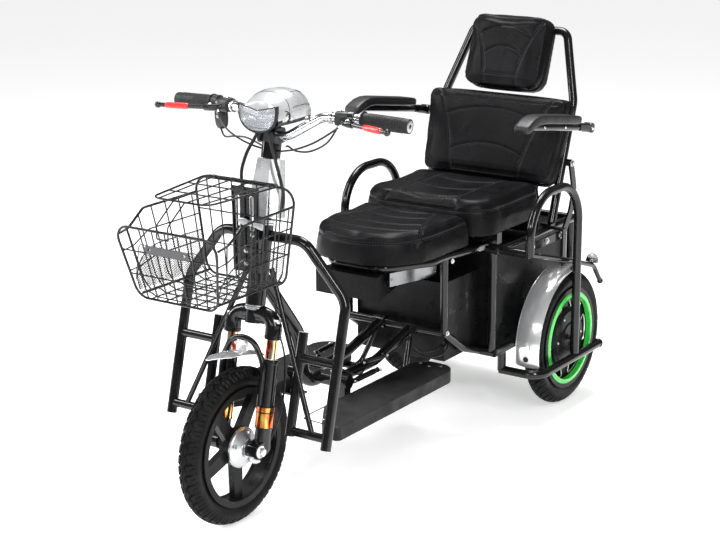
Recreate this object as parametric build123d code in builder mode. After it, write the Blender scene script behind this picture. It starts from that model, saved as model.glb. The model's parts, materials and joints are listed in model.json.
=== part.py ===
from build123d import *
import math
import os

# Electric tricycle with one steered front wheel and two driven rear wheels.
# Units are millimetres. +X is the vehicle's left, -Y its front, +Z up.
# The origin is on the floor under the middle of the whole length.

os.makedirs("parts", exist_ok=True)

# ---------------------------------------------------------------- clearances
running_gap = 0.05
seat_gap = 0.3

# ---------------------------------------------------------------- wheels
tyre_r = 190.0
tyre_half_width = 28.0
bead_r = 136.0
bead_half_width = 20.0
rim_flange_r = 144.0
rim_flange_t = 4.0
rim_wall = 5.0
rim_clear = 3.5
rim_lip_r = 129.0
axle_r = 6.0
wheelbase = 1170.0
rear_track_half = 245.0

# ---------------------------------------------------------------- overall frame
front_overhang = 228.0
rear_overhang = tyre_r
front_axle_y = (front_overhang - wheelbase - rear_overhang) / 2
rear_axle_y = front_axle_y + wheelbase
axle_z = tyre_r

# ---------------------------------------------------------------- steering axis
rake = 11.5
fork_offset = 25.0
axis_foot_y = front_axle_y + fork_offset * math.cos(math.radians(rake))
axis_foot_z = axle_z - fork_offset * math.sin(math.radians(rake))
steer_dir = Vector(0, math.sin(math.radians(rake)), math.cos(math.radians(rake)))
steer_plane = Plane(origin=(0, axis_foot_y, axis_foot_z), x_dir=(1, 0, 0), z_dir=steer_dir)

# Stations along the steering axis, counted from the foot beside the front axle.
leg_top_s = 211.0
sleeve_low_s = 52.0
sleeve_high_s = 104.0
crown_low_s = 266.0
crown_top_s = 322.0
head_low_s = 336.0
head_top_s = 524.0
stem_top_s = 722.0

# ---------------------------------------------------------------- fork
leg_half_track = 60.0
leg_r = 19.0
stanchion_r = 13.5
sleeve_r = 21.0
crown_socket_r = 19.0
crown_arch_r = 15.0
steerer_r = 17.0
head_tube_r = 24.0
lug_r = 17.0
lug_out = 76.0
lug_in = 43.0
nut_r = 10.5
nut_t = 9.0

# ---------------------------------------------------------------- frame tubes
guard_tube_r = 12.5
guard_post_x = 231.0
guard_inner_x = 126.0
guard_low_z = 212.0
guard_rung_low_z = 237.0
guard_rung_high_z = 404.0
guard_top_z = 675.0
main_tube_r = 18.0
twin_tube_r = 13.0
twin_tube_x = 48.0
rail_r = 11.0
rail_x = 196.0
low_rail_z = 211.0
high_rail_z = 497.0
seat_rail_x = 122.0
seat_rail_z = 514.0
post_x = 150.0


def from_front(y):
    """Place along the vehicle, counted rearwards from the front axle."""
    return front_axle_y + y


def steer_point(x, y, s):
    """A point given across, behind and along the steering axis."""
    return steer_plane.from_local_coords(Vector(x, y, s))


def axis_y_at(z):
    """Where the steering axis is at a height."""
    return axis_foot_y + (z - axis_foot_z) * math.tan(math.radians(rake))


def straight_rod(start, end, radius):
    """A round rod or tube between two points."""
    run = Vector(*end) - Vector(*start)
    with BuildPart() as rod:
        with BuildSketch(Plane(origin=start, z_dir=run)):
            Circle(radius)
        extrude(amount=run.length)
    return rod.part


def bent_tube(points, bend_radius, radius):
    """A round tube along straight runs joined by tangent arcs."""
    if len(points) == 2:
        return straight_rod(*points, radius)
    with BuildPart() as tube:
        with BuildLine() as path:
            FilletPolyline(*points, radius=bend_radius)
        with BuildSketch(Plane(origin=path.line @ 0, z_dir=path.line % 0)):
            Circle(radius)
        sweep()
    return tube.part


def cable_radii(points):
    """The largest bend that two neighbouring runs of a cable allow at each corner."""
    corners = [Vector(*point) for point in points]
    radii = []
    for before, corner, after in zip(corners, corners[1:], corners[2:]):
        into = corner - before
        out = after - corner
        half_turn = math.radians(into.get_angle(out)) / 2
        radii.append(0.45 * min(into.length, out.length) / math.tan(half_turn))
    return radii


def mirrored(part):
    """The same piece on the other side of the vehicle."""
    return mirror(part, about=Plane.YZ, mode=Mode.PRIVATE)


def finish(builder, label):
    """Label a finished piece and write its STEP file."""
    builder.part.label = label
    export_step(builder.part, "parts/" + label + ".step")


# ================================================================ wheels
def wheel_plane(x, y):
    """A plane at a wheel's centre whose normal is the axle."""
    return Plane(origin=(x, y, axle_z), x_dir=(0, 1, 0), z_dir=(1, 0, 0))


def make_tyre(x, y, label):
    """A tyre whose section runs round the bead, the side walls and the crown."""
    shoulder_r = tyre_r - 14.0
    wall_r = (bead_r + tyre_r) / 2
    with BuildPart() as tyre:
        with BuildSketch(Plane(origin=(x, y, axle_z), x_dir=(0, 1, 0), z_dir=(0, 0, 1))):
            with BuildLine():
                inner = bead_r + seat_gap
                Line((inner, -bead_half_width), (inner, bead_half_width))
                Spline(
                    (inner, bead_half_width),
                    (rim_flange_r + 4, bead_half_width + 3),
                    (wall_r + 4, tyre_half_width),
                    (shoulder_r, tyre_half_width - 5),
                    (tyre_r - 2.5, tyre_half_width - 16),
                    (tyre_r, 0),
                    (tyre_r - 2.5, 16 - tyre_half_width),
                    (shoulder_r, 5 - tyre_half_width),
                    (wall_r + 4, -tyre_half_width),
                    (rim_flange_r + 4, -bead_half_width - 3),
                    (inner, -bead_half_width),
                )
            make_face()
        revolve(axis=Axis((x, y, axle_z), (1, 0, 0)))
    finish(tyre, label)
    return tyre.part


def add_rim(x, y):
    """The rim channel that holds the tyre's beads."""
    flange_in = bead_half_width + rim_clear
    flange_out = flange_in + rim_flange_t
    with BuildPart() as rim:
        with BuildSketch(Plane(origin=(x, y, axle_z), x_dir=(0, 1, 0), z_dir=(0, 0, 1))):
            with BuildLine():
                Polyline(
                    (rim_lip_r, -flange_out),
                    (rim_flange_r, -flange_out),
                    (rim_flange_r, -flange_in),
                    (bead_r, -flange_in),
                    (bead_r, flange_in),
                    (rim_flange_r, flange_in),
                    (rim_flange_r, flange_out),
                    (rim_lip_r, flange_out),
                    (rim_lip_r, flange_in),
                    (bead_r - rim_wall, flange_in - rim_wall),
                    (bead_r - rim_wall, rim_wall - flange_in),
                    (rim_lip_r, -flange_in),
                    close=True,
                )
            make_face()
        revolve(axis=Axis((x, y, axle_z), (1, 0, 0)))
    return rim.part


make_tyre(0, front_axle_y, "front_tyre")
for side, name in ((1, "left"), (-1, "right")):
    make_tyre(side * rear_track_half, rear_axle_y, "rear_tyre_" + name)

# The front wheel is cast in one piece: rim, five spokes and hub.
spoke_count = 5
hub_r = 30.0
hub_half = 24.0
drum_r = 47.0
drum_half = 18.0
spoke_root = 36.0
spoke_tip = 27.0
spoke_t = 17.0
with BuildPart() as front_wheel:
    add(add_rim(0, front_axle_y))
    with BuildSketch(wheel_plane(-spoke_t / 2, front_axle_y)):
        for index in range(spoke_count):
            angle = -90 + index * 360 / spoke_count
            with Locations(Rotation(0, 0, angle)):
                Polygon(
                    (hub_r - 8, -spoke_root / 2),
                    (bead_r - 2, -spoke_tip / 2),
                    (bead_r - 2, spoke_tip / 2),
                    (hub_r - 8, spoke_root / 2),
                    align=None,
                )
    extrude(amount=spoke_t)
    with BuildSketch(wheel_plane(-hub_half, front_axle_y)):
        Circle(hub_r)
    extrude(amount=2 * hub_half)
    with BuildSketch(wheel_plane(0, front_axle_y)):
        Circle(drum_r)
    extrude(amount=drum_half)
    with BuildSketch(wheel_plane(-hub_half, front_axle_y)):
        Circle(axle_r + running_gap)
    extrude(amount=2 * hub_half, mode=Mode.SUBTRACT)
finish(front_wheel, "front_wheel")

# Each rear wheel is a rim cast round a hub motor.
motor_r = 84.0
motor_half = 23.0
motor_chamfer = 8.0
rear_spoke_count = 6
for side, name in ((1, "left"), (-1, "right")):
    wheel_x = side * rear_track_half
    with BuildPart() as rear_wheel:
        add(add_rim(wheel_x, rear_axle_y))
        with BuildSketch(wheel_plane(wheel_x - motor_half, rear_axle_y)):
            Circle(motor_r)
        extrude(amount=2 * motor_half)
        rings = rear_wheel.edges().filter_by(GeomType.CIRCLE)
        chamfer(rings.filter_by(lambda ring: abs(ring.radius - motor_r) < 0.1), motor_chamfer)
        with BuildSketch(wheel_plane(wheel_x - spoke_t / 2, rear_axle_y)):
            for index in range(rear_spoke_count):
                angle = 30 + index * 360 / rear_spoke_count
                with Locations(Rotation(0, 0, angle)):
                    Polygon(
                        (motor_r - 6, -spoke_root / 2),
                        (bead_r - 2, -spoke_tip / 2),
                        (bead_r - 2, spoke_tip / 2),
                        (motor_r - 6, spoke_root / 2),
                        align=None,
                    )
        extrude(amount=spoke_t)
        with BuildSketch(wheel_plane(wheel_x - motor_half - 1, rear_axle_y)):
            Circle(axle_r + running_gap)
        extrude(amount=2 * motor_half + 2, mode=Mode.SUBTRACT)
    finish(rear_wheel, "rear_wheel_" + name)

# ================================================================ fork
with BuildPart() as fork_crown:
    for side in (1, -1):
        with BuildSketch(steer_plane.offset(crown_low_s)):
            with Locations((side * leg_half_track, 0)):
                Circle(crown_socket_r)
        extrude(amount=30)
    add(
        bent_tube(
            [
                steer_point(-leg_half_track, 0, crown_low_s + 20),
                steer_point(-leg_half_track + 14, 0, crown_top_s - crown_arch_r),
                steer_point(leg_half_track - 14, 0, crown_top_s - crown_arch_r),
                steer_point(leg_half_track, 0, crown_low_s + 20),
            ],
            18,
            crown_arch_r,
        )
    )
    with BuildSketch(steer_plane.offset(crown_top_s - 2 * crown_arch_r)):
        Circle(head_tube_r - 3)
    extrude(amount=head_low_s - seat_gap - crown_top_s + 2 * crown_arch_r)
    with BuildSketch(steer_plane.offset(crown_top_s - 2)):
        Circle(steerer_r)
    extrude(amount=stem_top_s - crown_top_s)
    with BuildSketch(steer_plane.offset(head_top_s + seat_gap)):
        Circle(head_tube_r - 2)
    extrude(amount=12)
    for side in (1, -1):
        with BuildSketch(steer_plane.offset(crown_low_s - 1)):
            with Locations((side * leg_half_track, 0)):
                Circle(stanchion_r + running_gap)
        extrude(amount=16, mode=Mode.SUBTRACT)
finish(fork_crown, "fork_crown")

with BuildPart() as fork_stanchions:
    for side in (1, -1):
        with BuildSketch(steer_plane.offset(leg_top_s)):
            with Locations((side * leg_half_track, 0)):
                Circle(stanchion_r)
        extrude(amount=crown_low_s + 15 - leg_top_s)
finish(fork_stanchions, "fork_stanchions")

with BuildPart() as fork_legs:
    for side in (1, -1):
        with BuildSketch(steer_plane):
            with Locations((side * leg_half_track, 0)):
                Circle(leg_r)
        extrude(amount=leg_top_s)
        lug_start = lug_in if side > 0 else -lug_out
        with BuildSketch(wheel_plane(lug_start, front_axle_y)):
            Circle(lug_r)
            with Locations((axis_foot_y - front_axle_y, axis_foot_z - axle_z + 8)):
                Circle(lug_r - 1)
            make_hull()
        extrude(amount=lug_out - lug_in)
    with BuildSketch(wheel_plane(-lug_out - 1, front_axle_y)):
        Circle(axle_r + running_gap)
    extrude(amount=2 * lug_out + 2, mode=Mode.SUBTRACT)
    for side in (1, -1):
        with BuildSketch(steer_plane.offset(sleeve_low_s)):
            with Locations((side * leg_half_track, 0)):
                Circle(leg_r + 5)
                Circle(leg_r - 3, mode=Mode.SUBTRACT)
        extrude(amount=sleeve_high_s - sleeve_low_s, mode=Mode.SUBTRACT)
finish(fork_legs, "fork_legs")

# Anodised sleeves let into a step of each lower leg.
with BuildPart() as fork_sleeves:
    for side in (1, -1):
        with BuildSketch(steer_plane.offset(sleeve_low_s)):
            with Locations((side * leg_half_track, 0)):
                Circle(sleeve_r)
                Circle(leg_r - 3 + running_gap, mode=Mode.SUBTRACT)
        extrude(amount=sleeve_high_s - sleeve_low_s)
finish(fork_sleeves, "fork_sleeves")

with BuildPart() as front_axle:
    with BuildSketch(wheel_plane(-lug_out - nut_t - 3, front_axle_y)):
        Circle(axle_r)
    extrude(amount=2 * (lug_out + nut_t + 3))
    for side in (1, -1):
        start = lug_out if side > 0 else -lug_out - nut_t
        with BuildSketch(wheel_plane(start, front_axle_y)):
            RegularPolygon(nut_r, 6)
        extrude(amount=nut_t)
finish(front_axle, "front_axle")

# Brake cover: a shallow cone over the drum, with its cable arm.
cover_r = 49.0
cover_nose_r = 20.0
cover_in = hub_half + 1.5
cover_out = lug_in - 2 * seat_gap - 2
with BuildPart() as brake_cover:
    with BuildSketch(Plane(origin=(0, front_axle_y, axle_z), x_dir=(1, 0, 0), z_dir=(0, -1, 0))):
        with BuildLine():
            Polyline(
                (cover_in, axle_r + running_gap),
                (cover_in, hub_r),
                (drum_half + 1.5, hub_r + 3),
                (drum_half + 1.5, cover_r),
                (drum_half + 6, cover_r),
                (cover_out - 5, cover_nose_r),
                (cover_out, cover_nose_r - 5),
                (cover_out, axle_r + running_gap),
                close=True,
            )
        make_face()
    revolve(axis=Axis((0, front_axle_y, axle_z), (1, 0, 0)))
finish(brake_cover, "brake_cover")

# The brace arches over the tyre and ties the two lower legs.
brace_r = 7.0
brace_low_s = sleeve_high_s + 4
brace_turn_s = leg_top_s - 6
brace_top_s = leg_top_s + 48
with BuildPart() as fork_brace:
    add(
        bent_tube(
            [
                steer_point(-leg_half_track, -leg_r - brace_r - seat_gap, brace_low_s),
                steer_point(-leg_half_track, -leg_r - brace_r - seat_gap, brace_turn_s),
                steer_point(-30, -leg_r - brace_r - 8, brace_top_s),
                steer_point(30, -leg_r - brace_r - 8, brace_top_s),
                steer_point(leg_half_track, -leg_r - brace_r - seat_gap, brace_turn_s),
                steer_point(leg_half_track, -leg_r - brace_r - seat_gap, brace_low_s),
            ],
            [70, 45, 45, 70],
            brace_r,
        )
    )
finish(fork_brace, "fork_brace")

# Front mudguard: a flat-curved crowned blade with a pointed front tip.
mudguard_t = 1.6
mudguard_crown = 7.0
mudguard_half = 25.0
mudguard_r = 404.0
mudguard_y = from_front(-60)
mudguard_z = axle_z - 174
mudguard_tip_deg = 94.4
tip_length = 62.0


def radial(angle_deg):
    """The direction away from a wheel's axle, from the rear over the top to the front."""
    return Vector(0, math.cos(math.radians(angle_deg)), math.sin(math.radians(angle_deg)))


def mudguard_blade(centre, inner_r, half_width, start_deg, end_deg):
    """An arc of crowned sheet. Angles run from the rear, over the top, to the front."""
    out = radial(start_deg)
    with BuildPart() as blade:
        with BuildSketch(Plane(origin=centre, x_dir=(1, 0, 0), z_dir=Vector(1, 0, 0).cross(out))):
            with BuildLine():
                low = (half_width, inner_r)
                high = (half_width, inner_r + mudguard_t)
                ThreePointArc((-low[0], low[1]), (0, inner_r + mudguard_crown), low)
                Line(low, high)
                ThreePointArc(high, (0, inner_r + mudguard_crown + mudguard_t), (-high[0], high[1]))
                Line((-high[0], high[1]), (-low[0], low[1]))
            make_face()
        revolve(axis=Axis(centre, (1, 0, 0)), revolution_arc=end_deg - start_deg)
    return blade.part


brace_top = steer_point(0, -leg_r - brace_r - 8, brace_top_s)
with BuildPart() as front_mudguard:
    add(mudguard_blade((0, mudguard_y, mudguard_z), mudguard_r, mudguard_half, 68, mudguard_tip_deg))
    tip_out = radial(mudguard_tip_deg)
    tip_centre = Vector(0, mudguard_y, mudguard_z) + tip_out * mudguard_r
    with BuildSketch(Plane(origin=tip_centre, x_dir=(1, 0, 0), z_dir=tip_out)):
        for side in (1, -1):
            with BuildLine():
                Polyline(
                    (side * 3, -2),
                    (side * (mudguard_half * 0.7), tip_length * 0.5),
                    (side * (mudguard_half + 1), tip_length),
                    (side * (mudguard_half + 1), -2),
                    close=True,
                )
            make_face()
    extrude(amount=30, both=True, mode=Mode.SUBTRACT)
    tab_reach = brace_top.Y - mudguard_y
    tab_low_z = mudguard_z + math.sqrt((mudguard_r + mudguard_crown) ** 2 - tab_reach**2) - 0.5
    tab_high_z = brace_top.Z - brace_r - seat_gap
    with Locations((0, brace_top.Y, (tab_low_z + tab_high_z) / 2)):
        Box(22, 8, tab_high_z - tab_low_z)
finish(front_mudguard, "front_mudguard")


# ================================================================ handlebar and controls
bar_r = 11.0
bar_clamp_s = stem_top_s - 14
grip_r = 17.0
grip_in = 216.0
grip_out = 337.0
bar_end_y = from_front(235)
bar_rise_z = 952.0
bar_end_z = 947.0
clamp_bar = steer_point(0, 0, bar_clamp_s)
bar_lift = 26.0
clamp_height = 36.0
clamp_top_z = clamp_bar.Z + bar_lift + clamp_height / 2
bar_points = [
    (-grip_out + 6, bar_end_y, bar_end_z),
    (-200, from_front(224), bar_rise_z),
    (-120, from_front(200), bar_rise_z),
    (-46, clamp_bar.Y, clamp_bar.Z + bar_lift),
    (46, clamp_bar.Y, clamp_bar.Z + bar_lift),
    (120, from_front(200), bar_rise_z),
    (200, from_front(224), bar_rise_z),
    (grip_out - 6, bar_end_y, bar_end_z),
]
with BuildPart() as handlebar:
    add(bent_tube(bar_points, [50, 40, 30, 30, 40, 50], bar_r))
finish(handlebar, "handlebar")

with BuildPart() as bar_clamp:
    with BuildSketch(steer_plane.offset(stem_top_s - 42)):
        Circle(steerer_r + 6)
        Circle(steerer_r + running_gap, mode=Mode.SUBTRACT)
    extrude(amount=42)
    clamp_start = (-26, clamp_bar.Y, clamp_bar.Z + bar_lift)
    with BuildSketch(Plane(origin=clamp_start, x_dir=(0, 1, 0), z_dir=(1, 0, 0))):
        RectangleRounded(42, clamp_height, 8)
        Circle(bar_r + running_gap, mode=Mode.SUBTRACT)
    extrude(amount=52)
    with BuildSketch(steer_plane.offset(stem_top_s - 43)):
        Circle(steerer_r + running_gap)
    extrude(amount=43, mode=Mode.SUBTRACT)
finish(bar_clamp, "bar_clamp")

with BuildPart() as grips:
    for side in (1, -1):
        inner = Vector(side * 200, from_front(224), bar_rise_z)
        outer = Vector(side * (grip_out - 6), bar_end_y, bar_end_z)
        along = (outer - inner).normalized()
        grip_start = inner + along * (grip_in - 200)
        with BuildSketch(Plane(origin=grip_start, z_dir=along)):
            Circle(grip_r)
        extrude(amount=grip_out - grip_in)
        with BuildSketch(Plane(origin=grip_start - along, z_dir=along)):
            Circle(bar_r + running_gap)
        extrude(amount=(outer - grip_start).length + 1.3, mode=Mode.SUBTRACT)
finish(grips, "grips")

# Brake levers: a clamp on the bar, a blade along the grip and a ball at its tip.
lever_r = 5.5
lever_tip_x = 331.0
lever_tip_y = from_front(151)
lever_root_y = from_front(186)
lever_z = 946.0
with BuildPart() as brake_levers:
    for side in (1, -1):
        inner = Vector(side * 120, from_front(200), bar_rise_z)
        outer = Vector(side * 200, from_front(224), bar_rise_z)
        along = (outer - inner).normalized()
        clamp_start = inner + along * 58
        add(
            bent_tube(
                [
                    (side * 186, from_front(202), lever_z),
                    (side * 212, lever_root_y, lever_z),
                    (side * lever_tip_x, lever_tip_y, lever_z),
                ],
                20,
                lever_r,
            )
        )
        with Locations((side * lever_tip_x, lever_tip_y, lever_z)):
            Sphere(lever_r + 2.5)
        with BuildSketch(Plane(origin=clamp_start, z_dir=along)):
            Circle(bar_r + 6)
        extrude(amount=20)
        with BuildSketch(Plane(origin=clamp_start - along * 10, z_dir=along)):
            Circle(bar_r + running_gap)
        extrude(amount=60, mode=Mode.SUBTRACT)
finish(brake_levers, "brake_levers")

# Headlamp and dash in one domed housing over the stem.
lamp_front_y = from_front(112)
lamp_rear_y = from_front(284)
lamp_low_z = clamp_top_z + 6
lamp_height = 82.0
lamp_half_width = 64.0
lens_drop = 8.0
lens_t = 12.0
lamp_stations = (
    (0.00, 0.84, 0.80),
    (0.22, 0.98, 0.94),
    (0.45, 1.00, 1.00),
    (0.75, 0.86, 0.88),
    (1.00, 0.46, 0.46),
)
with BuildPart() as headlamp:
    for share, width_share, height_share in lamp_stations:
        station_y = lamp_front_y + lens_t + share * (lamp_rear_y - lamp_front_y - lens_t)
        half = lamp_half_width * width_share
        height = lamp_height * height_share
        with BuildSketch(Plane(origin=(0, station_y, lamp_low_z), x_dir=(1, 0, 0), z_dir=(0, -1, 0))):
            with BuildLine():
                Line((-half, 0), (half, 0))
                Line((half, 0), (half, height * 0.35))
                Spline(
                    (half, height * 0.35),
                    (half * 0.72, height * 0.82),
                    (0, height),
                    (-half * 0.72, height * 0.82),
                    (-half, height * 0.35),
                )
                Line((-half, height * 0.35), (-half, 0))
            make_face()
    loft()
    with BuildSketch(Plane(origin=(0, clamp_bar.Y, clamp_top_z + seat_gap), z_dir=(0, 0, 1))):
        Rectangle(44, 26)
    extrude(amount=lamp_low_z + 12 - clamp_top_z)
finish(headlamp, "headlamp")

with BuildPart() as headlamp_lens:
    half = lamp_half_width * 0.82
    height = lamp_height * 0.72
    lens_back_y = lamp_front_y + lens_t - seat_gap
    with BuildSketch(Plane(origin=(0, lens_back_y, lamp_low_z - lens_drop), x_dir=(1, 0, 0), z_dir=(0, -1, 0))):
        with BuildLine():
            Polyline((-half, height), (0, height * 0.80), (half, height))
            Spline(
                (half, height),
                (half * 0.90, height * 0.42),
                (half * 0.48, height * 0.07),
                (0, 0),
                (-half * 0.48, height * 0.07),
                (-half * 0.90, height * 0.42),
                (-half, height),
            )
        make_face()
    extrude(amount=lens_t - seat_gap)
    fillet(headlamp_lens.edges().group_by(Axis.Y)[0], 3)
finish(headlamp_lens, "headlamp_lens")

# Column cover: a tapered faceted shroud round the stem.
cover_low_s = head_top_s + 20
cover_high_s = stem_top_s - 44
cover_low_half = 46.0
cover_high_half = 32.0
with BuildPart() as column_cover:
    for s, half, depth in ((cover_low_s, cover_low_half, 32), (cover_high_s, cover_high_half, 24)):
        with BuildSketch(steer_plane.offset(s)):
            with BuildLine():
                Polyline(
                    (-half, -depth * 0.3),
                    (-half * 0.6, -depth),
                    (half * 0.6, -depth),
                    (half, -depth * 0.3),
                    (half * 0.8, depth),
                    (-half * 0.8, depth),
                    close=True,
                )
            make_face()
    loft()
    with BuildSketch(steer_plane.offset(cover_low_s - 1)):
        Circle(steerer_r + running_gap)
    extrude(amount=cover_high_s - cover_low_s + 2, mode=Mode.SUBTRACT)
finish(column_cover, "column_cover")

# Two control cables bow down either side of the column cover.
cable_r = 4.0
cable_port_s = cover_low_s + 16
cable_top_y = -34.0
cable_top_s = (lamp_low_z - 1.5 - steer_point(0, cable_top_y, 0).Z) / steer_dir.Z
with BuildPart() as control_cables:
    for side in (1, -1):
        route = [
            steer_point(side * 14, cable_top_y, cable_top_s),
            steer_point(side * 20, -38, stem_top_s + 4),
            steer_point(side * 40, -40, stem_top_s - 34),
            steer_point(side * 57, -33, stem_top_s - 82),
            steer_point(side * 61, -13, stem_top_s - 126),
            steer_point(side * (cover_low_half - 2), 5, cable_port_s),
        ]
        add(bent_tube(route, cable_radii(route), cable_r))
finish(control_cables, "control_cables")

# ================================================================ main frame
board_in = 96.0
board_out = 215.0
board_top_z = 238.0
board_t = 32.0
board_front_y = from_front(120)
board_rear_y = from_front(656)
stay_t = 5.0
stay_z = board_top_z - board_t - seat_gap - stay_t / 2
stay_rear_y = from_front(600)
cross_z = 262.0
down_tube_y = from_front(266)
down_tube_points = [
    (0, axis_y_at(588), 588),
    (0, down_tube_y, 386),
    (0, down_tube_y, cross_z),
    (0, from_front(342), cross_z),
]
pivot_y = from_front(690)
pivot_z = 310.0
pivot_r = 11.0
pivot_boss_r = 17.0
front_cross_y = from_front(345)
with BuildPart() as main_frame:
    with BuildSketch(steer_plane.offset(head_low_s)):
        Circle(head_tube_r)
    extrude(amount=head_top_s - head_low_s)
    add(bent_tube(down_tube_points, [120, 60], main_tube_r))
    lug_front_y = from_front(66)
    with Locations((0, (lug_front_y + axis_y_at(640)) / 2, 640)):
        Box(30, axis_y_at(640) - lug_front_y, 60)
    add(bent_tube([(-90, front_cross_y, cross_z), (90, front_cross_y, cross_z)], 0, main_tube_r))
    for side in (1, -1):
        add(
            bent_tube(
                [
                    (side * twin_tube_x, front_cross_y, cross_z),
                    (side * twin_tube_x, from_front(520), cross_z),
                    (side * twin_tube_x, pivot_y, pivot_z),
                ],
                180,
                twin_tube_r,
            )
        )
        boss_start = side * twin_tube_x - twin_tube_r - 4
        with BuildSketch(Plane(origin=(boss_start, pivot_y, pivot_z), x_dir=(0, 1, 0), z_dir=(1, 0, 0))):
            Circle(pivot_boss_r)
        extrude(amount=2 * twin_tube_r + 8)
        for y in (front_cross_y, stay_rear_y):
            with Locations((side * 130, y, stay_z)):
                Box(150, 40, stay_t)
        with Locations((side * 74, front_cross_y, (stay_z + cross_z) / 2)):
            Box(20, 26, cross_z - stay_z)
        add(
            bent_tube(
                [
                    (side * 70, stay_rear_y, stay_z),
                    (side * 70, stay_rear_y + 30, stay_z + 6),
                    (side * twin_tube_x, pivot_y, pivot_z),
                ],
                20,
                7,
            )
        )
    with BuildSketch(Plane(origin=(-post_x, pivot_y, pivot_z), x_dir=(0, 1, 0), z_dir=(1, 0, 0))):
        Circle(pivot_r + running_gap)
    extrude(amount=2 * post_x, mode=Mode.SUBTRACT)
    with BuildSketch(steer_plane.offset(head_low_s - 1)):
        Circle(steerer_r + running_gap)
    extrude(amount=head_top_s - head_low_s + 2, mode=Mode.SUBTRACT)
finish(main_frame, "main_frame")

# Leg guards: an outer post bent in to the head tube, with two rungs, an inner post and a brace.
guard_low_y = from_front(45)
guard_lean = math.tan(math.radians(14.7))
guard_bend_z = 545.0
guard_inner_z = 462.0
guard_top_y = axis_y_at(guard_top_z)


def guard_point(x, z):
    """A point of the leaning leg guard at a height."""
    return (x, guard_low_y + (z - guard_low_z) * guard_lean, z)


with BuildPart() as leg_guard_left:
    add(
        bent_tube(
            [
                (head_tube_r + 2 * seat_gap, guard_top_y, guard_top_z),
                (122, guard_top_y, guard_top_z),
                guard_point(guard_post_x, guard_bend_z),
                guard_point(guard_post_x, guard_low_z),
            ],
            [55, 60],
            guard_tube_r,
        )
    )
    for z in (guard_rung_high_z, guard_rung_low_z):
        add(straight_rod(guard_point(guard_inner_x, z), guard_point(guard_post_x, z), guard_tube_r - 2))
    inner_low = guard_point(guard_inner_x, guard_rung_low_z - 12)
    add(straight_rod(guard_point(guard_inner_x, guard_inner_z), inner_low, guard_tube_r - 1))
    brace_high = (head_tube_r + 9, axis_y_at(600) + 4, 600)
    add(straight_rod(brace_high, guard_point(188, guard_rung_low_z + 2), guard_tube_r - 6))
finish(leg_guard_left, "leg_guard_left")

with BuildPart() as leg_guard_right:
    add(mirrored(leg_guard_left.part))
finish(leg_guard_right, "leg_guard_right")

# Footboards on brackets from the front cross tube and the rear pivot.
with BuildPart() as footboards:
    for side in (1, -1):
        with BuildSketch(Plane.XY.offset(board_top_z - board_t)):
            with BuildLine():
                FilletPolyline(
                    (side * board_out, board_front_y),
                    (side * 166, board_front_y),
                    (side * board_in, from_front(228)),
                    (side * board_in, board_rear_y),
                    (side * board_out, board_rear_y),
                    radius=[12, 30, 34, 50, 50],
                    close=True,
                )
            make_face()
        extrude(amount=board_t)
finish(footboards, "footboards")

# ================================================================ rear frame
rear_guard_r = 200.0
rear_guard_half = 36.0
bracket_w = 18.0
bracket_t = 5.0
riser_w = 24.0
weld_depth = 3.0
rear_cushion_low_z = 541.0
riser_high_z = rear_cushion_low_z - seat_gap
box_front = 886.0
box_rear = 1302.0
box_front_y = from_front(box_front)
box_rear_y = from_front(box_rear)
riser_rear_y = from_front(box_rear - 202)
front_rail_y = box_front_y - seat_gap - rail_r
rear_rail_y = box_rear_y + seat_gap + rail_r
nose_rail_y = from_front(500)
with BuildPart() as rear_frame:
    for z in (low_rail_z, high_rail_z):
        for side in (1, -1):
            rail_start = (side * rail_x, front_rail_y - weld_depth, z)
            rail_end = (side * rail_x, rear_rail_y + weld_depth, z)
            add(bent_tube([rail_start, rail_end], 0, rail_r))
        for y in (front_rail_y, rear_rail_y):
            add(bent_tube([(-rail_x - weld_depth, y, z), (rail_x + weld_depth, y, z)], 0, rail_r))
    for side in (1, -1):
        for y in (front_rail_y, rear_rail_y):
            upright_x = side * (rail_x - 8)
            upright_low = (upright_x, y, low_rail_z - weld_depth)
            add(bent_tube([upright_low, (upright_x, y, high_rail_z + weld_depth)], 0, rail_r - 1))
        add(
            bent_tube(
                [
                    (side * post_x, front_rail_y + weld_depth, low_rail_z - 1),
                    (side * post_x, from_front(790), low_rail_z + 30),
                    (side * post_x, pivot_y - weld_depth, pivot_z + 1),
                ],
                60,
                rail_r - 0.5,
            )
        )
        post_low = (side * post_x, pivot_y, pivot_z - weld_depth)
        add(bent_tube([post_low, (side * post_x, pivot_y, seat_rail_z + 1)], 0, rail_r - 0.5))
        rail_rear = (side * post_x, front_rail_y + weld_depth, high_rail_z + 1)
        add(bent_tube([rail_rear, (side * post_x, pivot_y - weld_depth, seat_rail_z)], 0, rail_r))
        bracket_low_z = axle_z + rear_guard_r + mudguard_crown + mudguard_t + seat_gap
        bracket_out = rail_x + 50
        with Locations((side * (rail_x + 5 + bracket_out) / 2, rear_axle_y, high_rail_z + 1.7)):
            Box(bracket_out - rail_x - 5, bracket_w, bracket_t)
        drop_x = side * (bracket_out - bracket_t / 2)
        with Locations((drop_x, rear_axle_y, (high_rail_z + bracket_low_z) / 2)):
            Box(bracket_t, bracket_w, high_rail_z - bracket_low_z)
    add(
        bent_tube(
            [
                (-post_x, pivot_y + weld_depth, seat_rail_z),
                (-post_x, nose_rail_y + 130, seat_rail_z),
                (-72, nose_rail_y, seat_rail_z),
                (72, nose_rail_y, seat_rail_z),
                (post_x, nose_rail_y + 130, seat_rail_z),
                (post_x, pivot_y + weld_depth, seat_rail_z),
            ],
            [60, 60, 60, 60],
            rail_r,
        )
    )
    add(bent_tube([(-post_x, pivot_y, pivot_z), (post_x, pivot_y, pivot_z)], 0, pivot_r))
    for y in (front_rail_y + riser_w, riser_rear_y):
        with Locations((0, y, (high_rail_z + weld_depth + riser_high_z) / 2)):
            Box(2 * (rail_x - weld_depth), riser_w, riser_high_z - high_rail_z - weld_depth)
finish(rear_frame, "rear_frame")

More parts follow.
